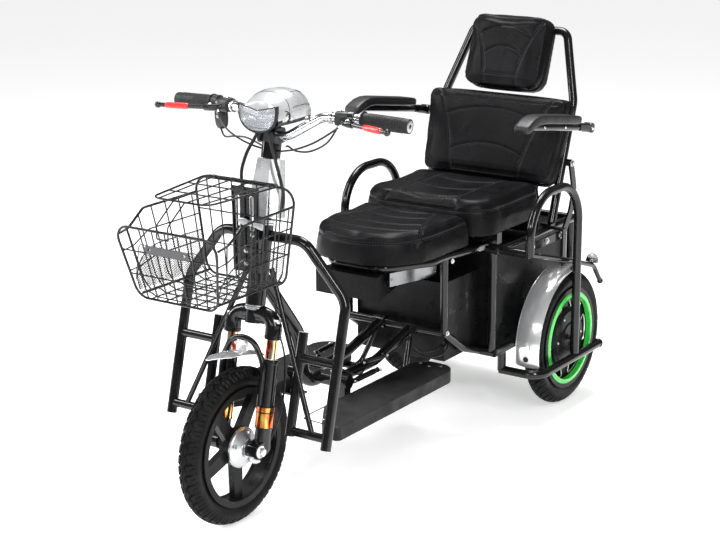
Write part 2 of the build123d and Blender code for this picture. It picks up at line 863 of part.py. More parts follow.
# The battery box has a narrower bay in front, between the pivot posts and the first cross tubes.
controller_low_z = 440.0
bay_front_y = pivot_y + pivot_boss_r + 5
box_low_z = low_rail_z - 8
box_high_z = high_rail_z - 2
with BuildPart() as battery_box:
    with BuildSketch(Plane.XY.offset(box_low_z)):
        with Locations((0, (box_front_y + box_rear_y) / 2)):
            RectangleRounded(2 * (rail_x - 8 - rail_r) - 2 * seat_gap, box_rear_y - box_front_y, 10)
    extrude(amount=box_high_z - box_low_z)
    bay_low_z = low_rail_z + rail_r + seat_gap
    bay_high_z = controller_low_z - 4
    with Locations((0, (bay_front_y + box_front_y + 20) / 2, (bay_low_z + bay_high_z) / 2)):
        Box(2 * (post_x - rail_r - 1), box_front_y + 20 - bay_front_y, bay_high_z - bay_low_z)
finish(battery_box, "battery_box")

seat_box_front_y = from_front(462)
seat_box_rear_y = from_front(738)
with BuildPart() as controller_box:
    with BuildSketch(Plane.XY.offset(controller_low_z)):
        with Locations((0, (seat_box_front_y + seat_box_rear_y) / 2)):
            Trapezoid(188, seat_box_rear_y - seat_box_front_y, 76)
    extrude(amount=seat_rail_z - rail_r - seat_gap - controller_low_z)
finish(controller_box, "controller_box")

# ================================================================ rear wheel cages
cage_x = 295.0
cage_r = 12.0
hoop_top_z = 661.0
hoop_front_y = from_front(880)
hoop_rear_y = from_front(1152)
cage_bar_z = 142.0
cage_front_y = from_front(945)
cage_rear_y = from_front(1300)
side_bar_z = high_rail_z + 2
stay_x = 270.0
stay_r = 7.0
stay_high_y = rear_axle_y - 20
stay_high_z = 419.0
stay_knee_y = rear_axle_y + 134
stay_knee_z = 369.0
stay_tail_y = rear_axle_y + 179
stay_tail_z = 313.0
for side, name in ((1, "left"), (-1, "right")):
    with BuildPart() as grab_hoop:
        add(
            bent_tube(
                [
                    (side * cage_x, hoop_front_y, side_bar_z - 6),
                    (side * cage_x, hoop_front_y, hoop_top_z - cage_r),
                    (side * cage_x, hoop_rear_y, hoop_top_z - cage_r),
                    (side * cage_x, hoop_rear_y, cage_bar_z + cage_r + seat_gap),
                ],
                [112, 112],
                cage_r,
            )
        )
        cross_in = (side * (rail_x + rail_r + seat_gap), hoop_front_y, side_bar_z)
        add(straight_rod(cross_in, (side * cage_x, hoop_front_y, side_bar_z), cage_r - 1))
        add(
            bent_tube(
                [
                    (side * stay_x, hoop_front_y, side_bar_z - 1),
                    (side * stay_x, stay_high_y, stay_high_z),
                    (side * stay_x, stay_knee_y, stay_knee_z),
                    (side * stay_x, stay_tail_y, stay_tail_z),
                ],
                [200, 50],
                stay_r,
            )
        )
        with Locations((side * stay_x, stay_tail_y, stay_tail_z)):
            Sphere(stay_r + 2)
    finish(grab_hoop, "grab_hoop_" + name)

with BuildPart() as wheel_guards:
    for side in (1, -1):
        add(
            bent_tube(
                [
                    (side * (rail_x - 20), cage_front_y, cage_bar_z),
                    (side * cage_x, cage_front_y, cage_bar_z),
                    (side * cage_x, cage_rear_y, cage_bar_z),
                ],
                [45],
                cage_r,
            )
        )
        with Locations((side * cage_x, cage_rear_y, cage_bar_z)):
            Sphere(cage_r + 2)
        add(
            bent_tube(
                [
                    (side * (rail_x - 16), cage_front_y, cage_bar_z),
                    (side * (rail_x - 16), cage_front_y, low_rail_z - rail_r - seat_gap),
                ],
                0,
                cage_r,
            )
        )
finish(wheel_guards, "wheel_guards")

# Rear mudguards: crowned blades over the front of each rear wheel.
with BuildPart() as rear_mudguards:
    for side in (1, -1):
        wheel_centre = (side * rear_track_half, rear_axle_y, axle_z)
        add(mudguard_blade(wheel_centre, rear_guard_r, rear_guard_half, 80, 190))
finish(rear_mudguards, "rear_mudguards")

# Dropouts carry each hub motor's axle on the rear frame.
dropout_t = 7.0
with BuildPart() as rear_dropouts:
    for side in (1, -1):
        plate_in = rail_x + rail_r + seat_gap
        start = side * plate_in if side > 0 else side * plate_in - dropout_t
        with BuildSketch(wheel_plane(start, rear_axle_y)):
            with Locations((0, (low_rail_z - axle_z) / 2)):
                RectangleRounded(70, 84, 12)
        extrude(amount=dropout_t)
        axle_start = side * plate_in if side > 0 else side * (rear_track_half + motor_half + 18)
        with BuildSketch(wheel_plane(axle_start, rear_axle_y)):
            Circle(axle_r)
        extrude(amount=rear_track_half + motor_half + 18 - plate_in)
finish(rear_dropouts, "rear_dropouts")

# ================================================================ seat
front_cushion_low_z = seat_rail_z + rail_r + seat_gap
front_cushion_t = 82.0
front_cushion_front_y = from_front(462)
front_cushion_rear_y = from_front(790)
front_cushion_half = 168.0
rear_cushion_t = 96.0
rear_cushion_front_y = from_front(796)
rear_cushion_rear_y = from_front(1124)
rear_cushion_half = 205.0
with BuildPart() as front_cushion:
    with BuildSketch(Plane.XY.offset(front_cushion_low_z)):
        with BuildLine():
            nose_back = (front_cushion_half, front_cushion_front_y + 176)
            Polyline(
                (nose_back[0], nose_back[1]),
                (front_cushion_half, front_cushion_rear_y),
                (-front_cushion_half, front_cushion_rear_y),
                (-nose_back[0], nose_back[1]),
            )
            Spline(
                (-nose_back[0], nose_back[1]),
                (-front_cushion_half * 0.93, front_cushion_front_y + 94),
                (-front_cushion_half * 0.70, front_cushion_front_y + 34),
                (0, front_cushion_front_y),
                (front_cushion_half * 0.70, front_cushion_front_y + 34),
                (front_cushion_half * 0.93, front_cushion_front_y + 94),
                (nose_back[0], nose_back[1]),
                tangents=[(0, -1), (0, 1)],
            )
        make_face()
    extrude(amount=front_cushion_t)
    fillet(front_cushion.edges().group_by(Axis.Z)[-1], 18)
finish(front_cushion, "front_cushion")

with BuildPart() as rear_cushion:
    with BuildSketch(Plane.XY.offset(rear_cushion_low_z)):
        with BuildLine():
            FilletPolyline(
                (rear_cushion_half, rear_cushion_front_y),
                (rear_cushion_half, rear_cushion_rear_y),
                (-rear_cushion_half, rear_cushion_rear_y),
                (-rear_cushion_half, rear_cushion_front_y),
                radius=[80, 40, 40, 80],
                close=True,
            )
        make_face()
    extrude(amount=rear_cushion_t)
    fillet(rear_cushion.edges().group_by(Axis.Z)[-1], 24)
finish(rear_cushion, "rear_cushion")

# The back reclines: its pieces are set out on a plane that leans rearwards.
recline = 19.0
back_foot_y = from_front(1135)
back_foot_z = 636.0
back_normal = Vector(0, -math.cos(math.radians(recline)), math.sin(math.radians(recline)))
back_plane = Plane(origin=(0, back_foot_y, back_foot_z), x_dir=(1, 0, 0), z_dir=back_normal)
back_low = -14.0
back_high = 238.0
back_low_half = 208.0
back_high_half = 229.0
back_t = 56.0
with BuildPart() as backrest:
    with BuildSketch(back_plane.offset(-back_t)):
        with BuildLine():
            FilletPolyline(
                (-back_low_half, back_low),
                (back_low_half, back_low),
                (back_high_half, back_high),
                (-back_high_half, back_high),
                radius=34,
                close=True,
            )
        make_face()
    extrude(amount=back_t)
finish(backrest, "backrest")

head_low = 245.0
head_high = 457.0
head_half = 125.0
head_t = 58.0
with BuildPart() as headrest:
    with BuildSketch(back_plane.offset(-back_t)):
        with Locations((0, (head_low + head_high) / 2)):
            RectangleRounded(2 * head_half, head_high - head_low, 40)
    extrude(amount=head_t)
finish(headrest, "headrest")

# The back frame is a tube bent over the top, with a plate behind the cushions.
back_tube_r = 12.0
back_tube_depth = -back_t - seat_gap - back_tube_r
back_tube_half = 206.0
back_top_half = 148.0
back_tube_top = 430.0
back_tube_low = -104.0


def back_point(x, up, out):
    """A point given across, up and out of the leaning back plane."""
    return back_plane.from_local_coords(Vector(x, up, out))


arm_x = 266.0
arm_pivot_up = 170.0
arm_pivot = back_point(0, arm_pivot_up, back_tube_depth)
arm_pitch = 9.0
arm_front_y = from_front(867)
arm_pad_w = 46.0
arm_pad_t = 28.0
arm_tube_r = 9.0
arm_eye_r = 14.0
arm_eye_half = 13.0
arm_pin_r = 6.0
link_top_y = 1224.0
link_top_z = 676.0
link_x = 228.0
link_t = 6.0
link_w = 22.0


def flat_bar(x, points, bend_radius, width, thickness):
    """A flat bar bent edgewise, given by its middle line behind the front axle and above the floor."""
    with BuildPart() as bar:
        with BuildSketch(Plane(origin=(x, front_axle_y, 0), x_dir=(0, 1, 0), z_dir=(1, 0, 0))):
            with BuildLine():
                FilletPolyline(*points, radius=bend_radius)
            trace(line_width=width)
        extrude(amount=thickness)
    return bar.part


with BuildPart() as back_frame:
    add(
        bent_tube(
            [
                back_point(-back_tube_half, back_tube_low, back_tube_depth),
                back_point(-back_tube_half, 236, back_tube_depth),
                back_point(-back_top_half, back_tube_top, back_tube_depth),
                back_point(back_top_half, back_tube_top, back_tube_depth),
                back_point(back_tube_half, 236, back_tube_depth),
                back_point(back_tube_half, back_tube_low, back_tube_depth),
            ],
            [80, 30, 30, 80],
            back_tube_r,
        )
    )
    for side in (1, -1):
        foot = back_point(side * back_tube_half, back_tube_low, back_tube_depth)
        with Locations((side * (rail_x + 6), foot.Y, high_rail_z + rail_r + seat_gap + 4)):
            Box(34, 56, 8)
        pin_in = back_tube_half
        pin_out = arm_x - arm_eye_half - seat_gap
        start = pin_in if side > 0 else -pin_out
        with BuildSketch(Plane(origin=(start, arm_pivot.Y, arm_pivot.Z), x_dir=(0, 1, 0), z_dir=(1, 0, 0))):
            Circle(arm_pin_r + 4)
        extrude(amount=pin_out - pin_in)
        link_start = link_x if side > 0 else -link_x - link_t
        link_line = [(985, 482), (1188, 482), (1230, 540), (1247, 596), (link_top_y, link_top_z)]
        add(flat_bar(link_start, link_line, [40, 60, 50], link_w, link_t))
        pin_start = back_tube_half if side > 0 else -link_x - link_t
        top_pin = Plane(origin=(pin_start, from_front(link_top_y), link_top_z), x_dir=(0, 1, 0), z_dir=(1, 0, 0))
        with BuildSketch(top_pin):
            Circle(link_w / 2 - 1)
        extrude(amount=link_x + link_t - back_tube_half)
    for up in (40, 200):
        slat_left = back_point(back_tube_half, up, back_tube_depth)
        slat_right = back_point(-back_tube_half, up, back_tube_depth)
        add(bent_tube([slat_right, slat_left], 0, 9))
finish(back_frame, "back_frame")

# ================================================================ armrests
# Each armrest is a tube from an eye on the pivot, under a pad whose front end droops.
for side, name in ((1, "left"), (-1, "right")):
    with BuildPart() as armrest:
        arm_dir = Vector(0, -math.cos(math.radians(arm_pitch)), math.sin(math.radians(arm_pitch)))
        arm_length = (arm_pivot.Y - arm_front_y) / math.cos(math.radians(arm_pitch))
        pad_start = (side * arm_x + side * arm_pad_w / 2, arm_pivot.Y, arm_pivot.Z)
        with BuildSketch(Plane(origin=pad_start, x_dir=arm_dir, z_dir=(-side, 0, 0))):
            with BuildLine():
                FilletPolyline(
                    (44, 6),
                    (38, 8 + arm_pad_t),
                    (arm_length - 50, 8 + arm_pad_t),
                    (arm_length + 2, 4),
                    (arm_length - 6, -20),
                    (arm_length - 34, 0),
                    (arm_length - 62, 6),
                    radius=[10, 12, 40, 12, 8, 30, 30],
                    close=True,
                )
            make_face()
        extrude(amount=arm_pad_w)
        with BuildSketch(Plane(origin=(side * arm_x, arm_pivot.Y, arm_pivot.Z), z_dir=arm_dir)):
            Circle(arm_tube_r)
        extrude(amount=arm_length - 60)
        eye_start = (side * arm_x - arm_eye_half, arm_pivot.Y, arm_pivot.Z)
        with BuildSketch(Plane(origin=eye_start, x_dir=(0, 1, 0), z_dir=(1, 0, 0))):
            Circle(arm_eye_r)
        extrude(amount=2 * arm_eye_half)
    finish(armrest, "armrest_" + name)


# Rear lamps: a small dome on each curved stay, behind the top of the wheel.
lamp_y = stay_knee_y - 14
rear_lamp_r = 19.0
stay_slope = (stay_high_z - stay_knee_z) / (stay_knee_y - stay_high_y)
with BuildPart() as rear_lamps:
    for side in (1, -1):
        out = radial(math.degrees(math.atan2(1, stay_slope)))
        stay_at_lamp = Vector(side * stay_x, lamp_y, stay_knee_z + (stay_knee_y - lamp_y) * stay_slope)
        seat = stay_at_lamp + out * (stay_r + seat_gap)
        with BuildSketch(Plane(origin=seat, z_dir=out)):
            Circle(rear_lamp_r)
        extrude(amount=27, taper=12)
finish(rear_lamps, "rear_lamps")

# ================================================================ basket
wire_r = 1.7
rim_wire_r = 3.0
basket_half = 147.0
basket_low_half = 113.0
basket_front_y = from_front(-222)
basket_front_low_y = from_front(-184)
plate_t = 5.0
basket_back_y = lug_front_y - 2 * seat_gap - plate_t - wire_r
basket_low_z = 582.0
basket_front_z = 752.0
basket_back_z = 812.0
basket_corner_r = 34.0


def wire(start, end, radius=wire_r):
    """One straight basket wire."""
    return bent_tube([start, end], 0, radius)


basket_front_plane = Plane(
    origin=(0, basket_front_low_y, basket_low_z),
    x_dir=(1, 0, 0),
    z_dir=(0, basket_low_z - basket_front_z, basket_front_y - basket_front_low_y),
)
front_slant = math.hypot(basket_front_z - basket_low_z, basket_front_low_y - basket_front_y)


def panel_frame(plane, low_half, high_half, height):
    """A thick wire bent round a panel's edge, in two halves."""
    half_points = [(0, 0, 0), (low_half, 0, 0), (high_half, height, 0), (0, height, 0)]
    placed = [plane.from_local_coords(Vector(*point)) for point in half_points]
    other = [Vector(-point.X, point.Y, point.Z) for point in placed]
    corners = [basket_corner_r, basket_corner_r]
    return bent_tube(placed, corners, rim_wire_r), bent_tube(other, corners, rim_wire_r)


def panel_wires(plane, low_half, high_half, height, count, cross_count):
    """Upright and level wires inside a panel's edge."""
    wires = []
    for index in range(count):
        share = (index + 1) / (count + 1) * 2 - 1
        start = plane.from_local_coords(Vector(share * low_half, 0, 0))
        end = plane.from_local_coords(Vector(share * high_half, height, 0))
        wires.append(wire(start, end))
    for index in range(cross_count):
        up = height * (index + 1) / (cross_count + 1)
        half = low_half + (high_half - low_half) * up / height
        start = plane.from_local_coords(Vector(-half, up, 0))
        wires.append(wire(start, plane.from_local_coords(Vector(half, up, 0))))
    return wires


basket_back_plane = Plane(origin=(0, basket_back_y, basket_low_z), x_dir=(1, 0, 0), z_dir=(0, -1, 0))
with BuildPart() as basket_ends:
    for plane, height, count in (
        (basket_front_plane, front_slant, 7),
        (basket_back_plane, basket_back_z - basket_low_z, 7),
    ):
        for piece in panel_frame(plane, basket_low_half, basket_half, height):
            add(piece)
        for piece in panel_wires(plane, basket_low_half, basket_half, height, count, 2):
            add(piece)
finish(basket_ends, "basket_ends")

side_count = 6
side_rim = ((0.0, 729.0), (0.13, 735.0), (0.36, 770.0), (1.0, 773.0))
corner_drop = basket_corner_r * (1 - math.sqrt(0.5))
side_low_x = basket_low_half - corner_drop
side_low_z = basket_low_z + corner_drop
side_knee_z = basket_low_z + basket_corner_r
end_gap = rim_wire_r + 4 * seat_gap


def basket_x(z, high_z):
    """Half the basket's width at a height, where its rim is at high_z."""
    return basket_low_half + (basket_half - basket_low_half) * (z - basket_low_z) / (high_z - basket_low_z)


def front_lean_y(z):
    """Where the leaning front of the basket is at a height."""
    share = (z - basket_low_z) / (basket_front_z - basket_low_z)
    return basket_front_low_y + (basket_front_y - basket_front_low_y) * share


def side_point(side, share, z):
    """A point of the basket's side, from its front (0) to its back (1)."""
    x = basket_x(z, basket_front_z + (basket_back_z - basket_front_z) * share)
    front_y = front_lean_y(z) + end_gap
    return (side * x, front_y + (basket_back_y - end_gap - front_y) * share, z)


def side_rim_z(share):
    """The height of the side's bent rim at a share of the way from the front."""
    for (low_share, low_z), (high_share, high_z) in zip(side_rim, side_rim[1:]):
        if share <= high_share:
            return low_z + (high_z - low_z) * (share - low_share) / (high_share - low_share)


with BuildPart() as basket_sides:
    for side in (1, -1):
        for level, radius in ((1.0, rim_wire_r), (0.72, wire_r), (0.38, wire_r)):
            points = [
                side_point(side, share, side_low_z + (rim_z - side_low_z) * level)
                for share, rim_z in side_rim
            ]
            add(bent_tube(points, [22, 22], radius))
        low_front = (side * side_low_x, front_lean_y(side_low_z) + end_gap, side_low_z)
        add(wire(low_front, (side * side_low_x, basket_back_y - end_gap, side_low_z), rim_wire_r))
        for index in range(side_count):
            share = (index + 0.7) / side_count
            foot = side_point(side, share, side_low_z)
            add(
                bent_tube(
                    [
                        (side * side_low_x, foot[1], side_low_z),
                        side_point(side, share, side_knee_z),
                        side_point(side, share, side_rim_z(share)),
                    ],
                    20,
                    wire_r,
                )
            )
finish(basket_sides, "basket_sides")

with BuildPart() as basket_floor:
    floor_flat = basket_low_half - basket_corner_r
    rise = Vector(side_low_x - floor_flat, 0, side_low_z - basket_low_z).normalized()
    floor_end = Vector(side_low_x, 0, side_low_z) - rise * (rim_wire_r + seat_gap)
    floor_front_y = basket_front_low_y + rim_wire_r + 2 * seat_gap
    floor_back_y = basket_back_y - rim_wire_r - seat_gap
    floor_count = 5
    for index in range(floor_count):
        x = floor_flat * (index / (floor_count - 1) * 2 - 1)
        add(wire((x, floor_front_y, basket_low_z), (x, floor_back_y, basket_low_z)))
    cross_count = 7
    for index in range(cross_count):
        y = floor_front_y + (floor_back_y - floor_front_y) * (index + 0.5) / cross_count
        add(
            bent_tube(
                [
                    (-floor_end.X, y, floor_end.Z),
                    (-floor_flat, y, basket_low_z),
                    (floor_flat, y, basket_low_z),
                    (floor_end.X, y, floor_end.Z),
                ],
                12,
                wire_r,
            )
        )
finish(basket_floor, "basket_floor")

# Slotted plate that holds the basket on the head tube's lug.
plate_y = lug_front_y - seat_gap - plate_t / 2
with BuildPart() as basket_plate:
    with Locations((0, plate_y, 700)):
        Box(76, plate_t, 200)
    with Locations((-20, plate_y, 740), (20, plate_y, 740)):
        Box(8, plate_t, 80, mode=Mode.SUBTRACT)
finish(basket_plate, "basket_plate")

# Wire lid hinged on the basket's back rim.
lid_z = basket_back_z + rim_wire_r + 2.4
lid_rear_y = basket_back_y - 2
lid_front_y = from_front(-168)
lid_rear_half = 108.0
lid_front_half = 80.0
with BuildPart() as basket_lid:
    lid_half = [
        (0, lid_rear_y, lid_z),
        (lid_rear_half, lid_rear_y, lid_z),
        (lid_front_half, lid_front_y, lid_z - 6),
        (0, lid_front_y, lid_z - 6),
    ]
    add(bent_tube(lid_half, [16, 30], 2.4))
    add(bent_tube([(-x, y, z) for x, y, z in lid_half], [16, 30], 2.4))
    lid_count = 4
    for index in range(lid_count):
        share = (index + 0.5) / lid_count * 2 - 1
        lid_start = (share * lid_rear_half, lid_rear_y, lid_z)
        add(wire(lid_start, (share * lid_front_half, lid_front_y, lid_z - 6)))
    for share in (0.36, 0.7):
        y = lid_rear_y + (lid_front_y - lid_rear_y) * share
        half = lid_rear_half + (lid_front_half - lid_rear_half) * share
        add(wire((-half, y, lid_z - 6 * share), (half, y, lid_z - 6 * share)))
    for x in (-16, 16):
        add(
            bent_tube(
                [
                    (x, lid_front_y, lid_z - 6),
                    (x, basket_front_y - 6, lid_z - 50),
                    (x, basket_front_y - 5, basket_front_z - 14),
                ],
                [14],
                wire_r,
            )
        )
    add(wire((-16, basket_front_y - 5, basket_front_z - 14), (16, basket_front_y - 5, basket_front_z - 14)))
finish(basket_lid, "basket_lid")
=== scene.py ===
"""Dresses the electric tricycle: finishes, tyre tread, upholstery, trim, camera and light."""

import json
import math

import bmesh
import bpy
from mathutils import Matrix, Vector
from mathutils.bvhtree import BVHTree
from mathutils.kdtree import KDTree


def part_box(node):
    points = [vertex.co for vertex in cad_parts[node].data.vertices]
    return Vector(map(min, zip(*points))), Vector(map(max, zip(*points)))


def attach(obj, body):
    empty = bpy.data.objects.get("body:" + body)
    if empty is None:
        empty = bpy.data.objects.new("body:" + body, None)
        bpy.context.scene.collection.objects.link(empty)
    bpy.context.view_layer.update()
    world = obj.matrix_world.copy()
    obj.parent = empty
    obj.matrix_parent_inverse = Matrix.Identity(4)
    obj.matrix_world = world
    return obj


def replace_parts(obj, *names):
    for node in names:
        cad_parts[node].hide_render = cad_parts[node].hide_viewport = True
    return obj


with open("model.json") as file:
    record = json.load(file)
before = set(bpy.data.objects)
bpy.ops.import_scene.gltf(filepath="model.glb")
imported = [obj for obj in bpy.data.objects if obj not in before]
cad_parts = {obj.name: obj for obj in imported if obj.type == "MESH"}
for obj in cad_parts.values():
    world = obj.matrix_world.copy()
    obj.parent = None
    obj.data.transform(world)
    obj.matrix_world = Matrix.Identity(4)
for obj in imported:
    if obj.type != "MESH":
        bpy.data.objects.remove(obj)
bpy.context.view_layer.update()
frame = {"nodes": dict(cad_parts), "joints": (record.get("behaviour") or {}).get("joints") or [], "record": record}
NODES = frame["nodes"]

# ================================================================ places taken from the frame
JOINTS = {joint["name"]: joint for joint in frame["joints"]}
FRONT_HUB = Vector(JOINTS["front_wheel_spin"]["pos_m"])
REAR_HUBS = {
    "left": Vector(JOINTS["rear_left_spin"]["pos_m"]),
    "right": Vector(JOINTS["rear_right_spin"]["pos_m"]),
}
STEER_FOOT = Vector(JOINTS["steering_turn"]["pos_m"])
STEER_DIR = Vector(JOINTS["steering_turn"]["axis"]).normalized()
SIDES = {"left": 1, "right": -1}
X_AXIS, Y_AXIS, Z_AXIS = Vector((1, 0, 0)), Vector((0, 1, 0)), Vector((0, 0, 1))


def mm(x, y, z):
    """A place in millimetres: across, behind the front axle, above the floor."""
    return Vector((x / 1000, FRONT_HUB.y + y / 1000, z / 1000))


def sided(point, side):
    """A place given for the left, on the left (1) or mirrored to the right (-1)."""
    return mm(side * point[0], point[1], point[2])


def steer_point(x, along):
    """A place in millimetres across from the steering axis and up along it."""
    return STEER_FOOT + Vector((x / 1000, 0, 0)) + STEER_DIR * (along / 1000)


def both_sides(points):
    """A line that ends on the middle plane, joined to its mirror image."""
    return points + [(-x, *rest) for x, *rest in reversed(points[:-1])]


# ================================================================ materials
def shader(name, color, roughness, metallic=0.0, **sockets):
    """A new material with its Principled shader's own sockets set."""
    material = bpy.data.materials.new(name)
    material.use_nodes = True
    bsdf = material.node_tree.nodes["Principled BSDF"]
    bsdf.inputs["Base Color"].default_value = (*color, 1)
    bsdf.inputs["Roughness"].default_value = roughness
    bsdf.inputs["Metallic"].default_value = metallic
    for socket, value in sockets.items():
        bsdf.inputs[socket.replace("_", " ")].default_value = value
    return material, bsdf


def add_node(material, kind, **values):
    """A node with its properties and its input sockets set by name."""
    node = material.node_tree.nodes.new(kind)
    for key, value in values.items():
        if key in node.inputs:
            node.inputs[key].default_value = value
        else:
            setattr(node, key, value)
    return node


def link(material, source, target):
    material.node_tree.links.new(source, target)


def texture(material, kind, stretch=None, **values):
    """A texture that sits still on the object, drawn out along Z where stretch is small."""
    vector = add_node(material, "ShaderNodeTexCoord").outputs["Object"]
    if stretch:
        mapping = add_node(material, "ShaderNodeMapping", Scale=(1.0, 1.0, stretch))
        link(material, vector, mapping.inputs["Vector"])
        vector = mapping.outputs["Vector"]
    node = add_node(material, kind, **values)
    link(material, vector, node.inputs["Vector"])
    return node


def noise(material, scale, detail=4.0, rough=0.5, stretch=None):
    """Soft noise on the object."""
    values = {"Scale": scale, "Detail": detail, "Roughness": rough}
    return texture(material, "ShaderNodeTexNoise", stretch, **values).outputs["Fac"]


def ramp(material, factor, low, high, start=0.35, end=0.65, between=()):
    """Maps a texture onto a range of values or colours, with other colours in between."""
    node = add_node(material, "ShaderNodeValToRGB")
    for element, at, value in zip(node.color_ramp.elements, (start, end), (low, high)):
        element.position = at
        element.color = (*value, 1) if isinstance(value, tuple) else (value, value, value, 1)
    for at, color in between:
        node.color_ramp.elements.new(at).color = (*color, 1)
    link(material, factor, node.inputs["Fac"])
    return node.outputs["Color"]


def gloss(material, bsdf, scale, low, high):
    """Lets the roughness drift between two values in soft blotches."""
    link(material, ramp(material, noise(material, scale), low, high), bsdf.inputs["Roughness"])


def bump(material, bsdf, height, strength, distance, under=None):
    """Relief in the surface's normal, laid over an earlier relief if there is one."""
    node = add_node(material, "ShaderNodeBump", Strength=strength, Distance=distance)
    link(material, height, node.inputs["Height"])
    if under:
        link(material, under, node.inputs["Normal"])
    link(material, node.outputs["Normal"], bsdf.inputs["Normal"])
    return node.outputs["Normal"]


def worn(name, color, rough_low, rough_high, metallic=0.0, blotch=30.0, grain=900.0, relief=0.03, **sockets):
    """A surface whose gloss varies in soft blotches, with a fine grain and a little colour drift."""
    material, bsdf = shader(name, color, rough_low, metallic, **sockets)
    gloss(material, bsdf, blotch, rough_low, rough_high)
    lighter = tuple(min(1.0, channel * 1.25 + 0.002) for channel in color)
    link(material, ramp(material, noise(material, blotch * 0.4), color, lighter), bsdf.inputs["Base Color"])
    bump(material, bsdf, noise(material, grain, 2.0), relief, 0.0004)
    return material


def make_leather():
    """Black leather: pebbled grain over soft creases."""
    material, bsdf = shader("black_leather", (0.004, 0.004, 0.0045), 0.36, Specular_IOR_Level=0.1)
    cells = texture(material, "ShaderNodeTexVoronoi", Scale=620.0, feature="DISTANCE_TO_EDGE")
    grain = ramp(material, cells.outputs["Distance"], 0.0, 1.0, 0.0, 0.22)
    gloss(material, bsdf, 26.0, 0.26, 0.4)
    tint = ramp(material, noise(material, 9.0), (0.003, 0.003, 0.0034), (0.0065, 0.0065, 0.0075))
    link(material, tint, bsdf.inputs["Base Color"])
    pebbles = bump(material, bsdf, grain, 0.22, 0.0005)
    bump(material, bsdf, noise(material, 70.0, 6.0, 0.6), 0.18, 0.0016, pebbles)
    return material


def make_tyre_rubber():
    """Tyre rubber: matt, slightly dusty, with fine moulding grain."""
    material, bsdf = shader("tyre_rubber", (0.004, 0.004, 0.004), 0.6, Specular_IOR_Level=0.14)
    gloss(material, bsdf, 14.0, 0.42, 0.62)
    clean, dusty = (0.003, 0.003, 0.003), (0.008, 0.0079, 0.0075)
    link(material, ramp(material, noise(material, 40.0, 6.0), clean, dusty, 0.4, 0.75), bsdf.inputs["Base Color"])
    bump(material, bsdf, noise(material, 500.0, 3.0), 0.12, 0.0006)
    return material


def make_clear():
    """Clear lamp plastic with fine prism lines."""
    material, bsdf = shader("clear_lens", (0.95, 0.97, 1.0), 0.06, Transmission_Weight=0.85, IOR=1.45)
    lines = texture(material, "ShaderNodeTexWave", Scale=90.0, bands_direction="X")
    bump(material, bsdf, lines.outputs["Fac"], 0.25, 0.001)
    return material


def make_anodised():
    """Anodised tube: gold that turns to copper red in long streaks down its length."""
    material, bsdf = shader("gold_anodised", (0.86, 0.45, 0.08), 0.16, 1.0)
    streaks = noise(material, 85.0, 2.0, stretch=0.04)
    gold, copper = (0.95, 0.66, 0.16), (0.78, 0.09, 0.02)
    link(material, ramp(material, streaks, gold, copper, 0.42, 0.58), bsdf.inputs["Base Color"])
    gloss(material, bsdf, 40.0, 0.12, 0.24)
    return material


def make_stanchion():
    """Polished tube with gold and red tints in long streaks."""
    material, bsdf = shader("stanchion_chrome", (0.8, 0.8, 0.8), 0.08, 1.0)
    streaks = noise(material, 70.0, 1.0, stretch=0.03)
    silver, red = (0.82, 0.80, 0.76), (0.62, 0.05, 0.03)
    tints = ((0.47, (0.92, 0.70, 0.22)), (0.53, (0.85, 0.84, 0.80)), (0.57, (0.85, 0.42, 0.14)))
    link(material, ramp(material, streaks, silver, red, 0.40, 0.62, tints), bsdf.inputs["Base Color"])
    gloss(material, bsdf, 60.0, 0.06, 0.14)
    return material


def make_mat():
    """Footboard rubber: moulded grain over a dusty black."""
    material, bsdf = shader("board_mat", (0.01, 0.01, 0.011), 0.6, Specular_IOR_Level=0.25)
    gloss(material, bsdf, 20.0, 0.45, 0.7)
    dust = ramp(material, noise(material, 12.0, 6.0), (0.006, 0.006, 0.0065), (0.015, 0.015, 0.0155))
    link(material, dust, bsdf.inputs["Base Color"])
    bump(material, bsdf, noise(material, 420.0, 3.0), 0.35, 0.0008)
    return material


def black(name, level, rough_low, rough_high, specular, **values):
    """A worn black, a little cooler than neutral."""
    color = (level, level, level + 0.0005)
    return worn(name, color, rough_low, rough_high, Specular_IOR_Level=specular, **values)


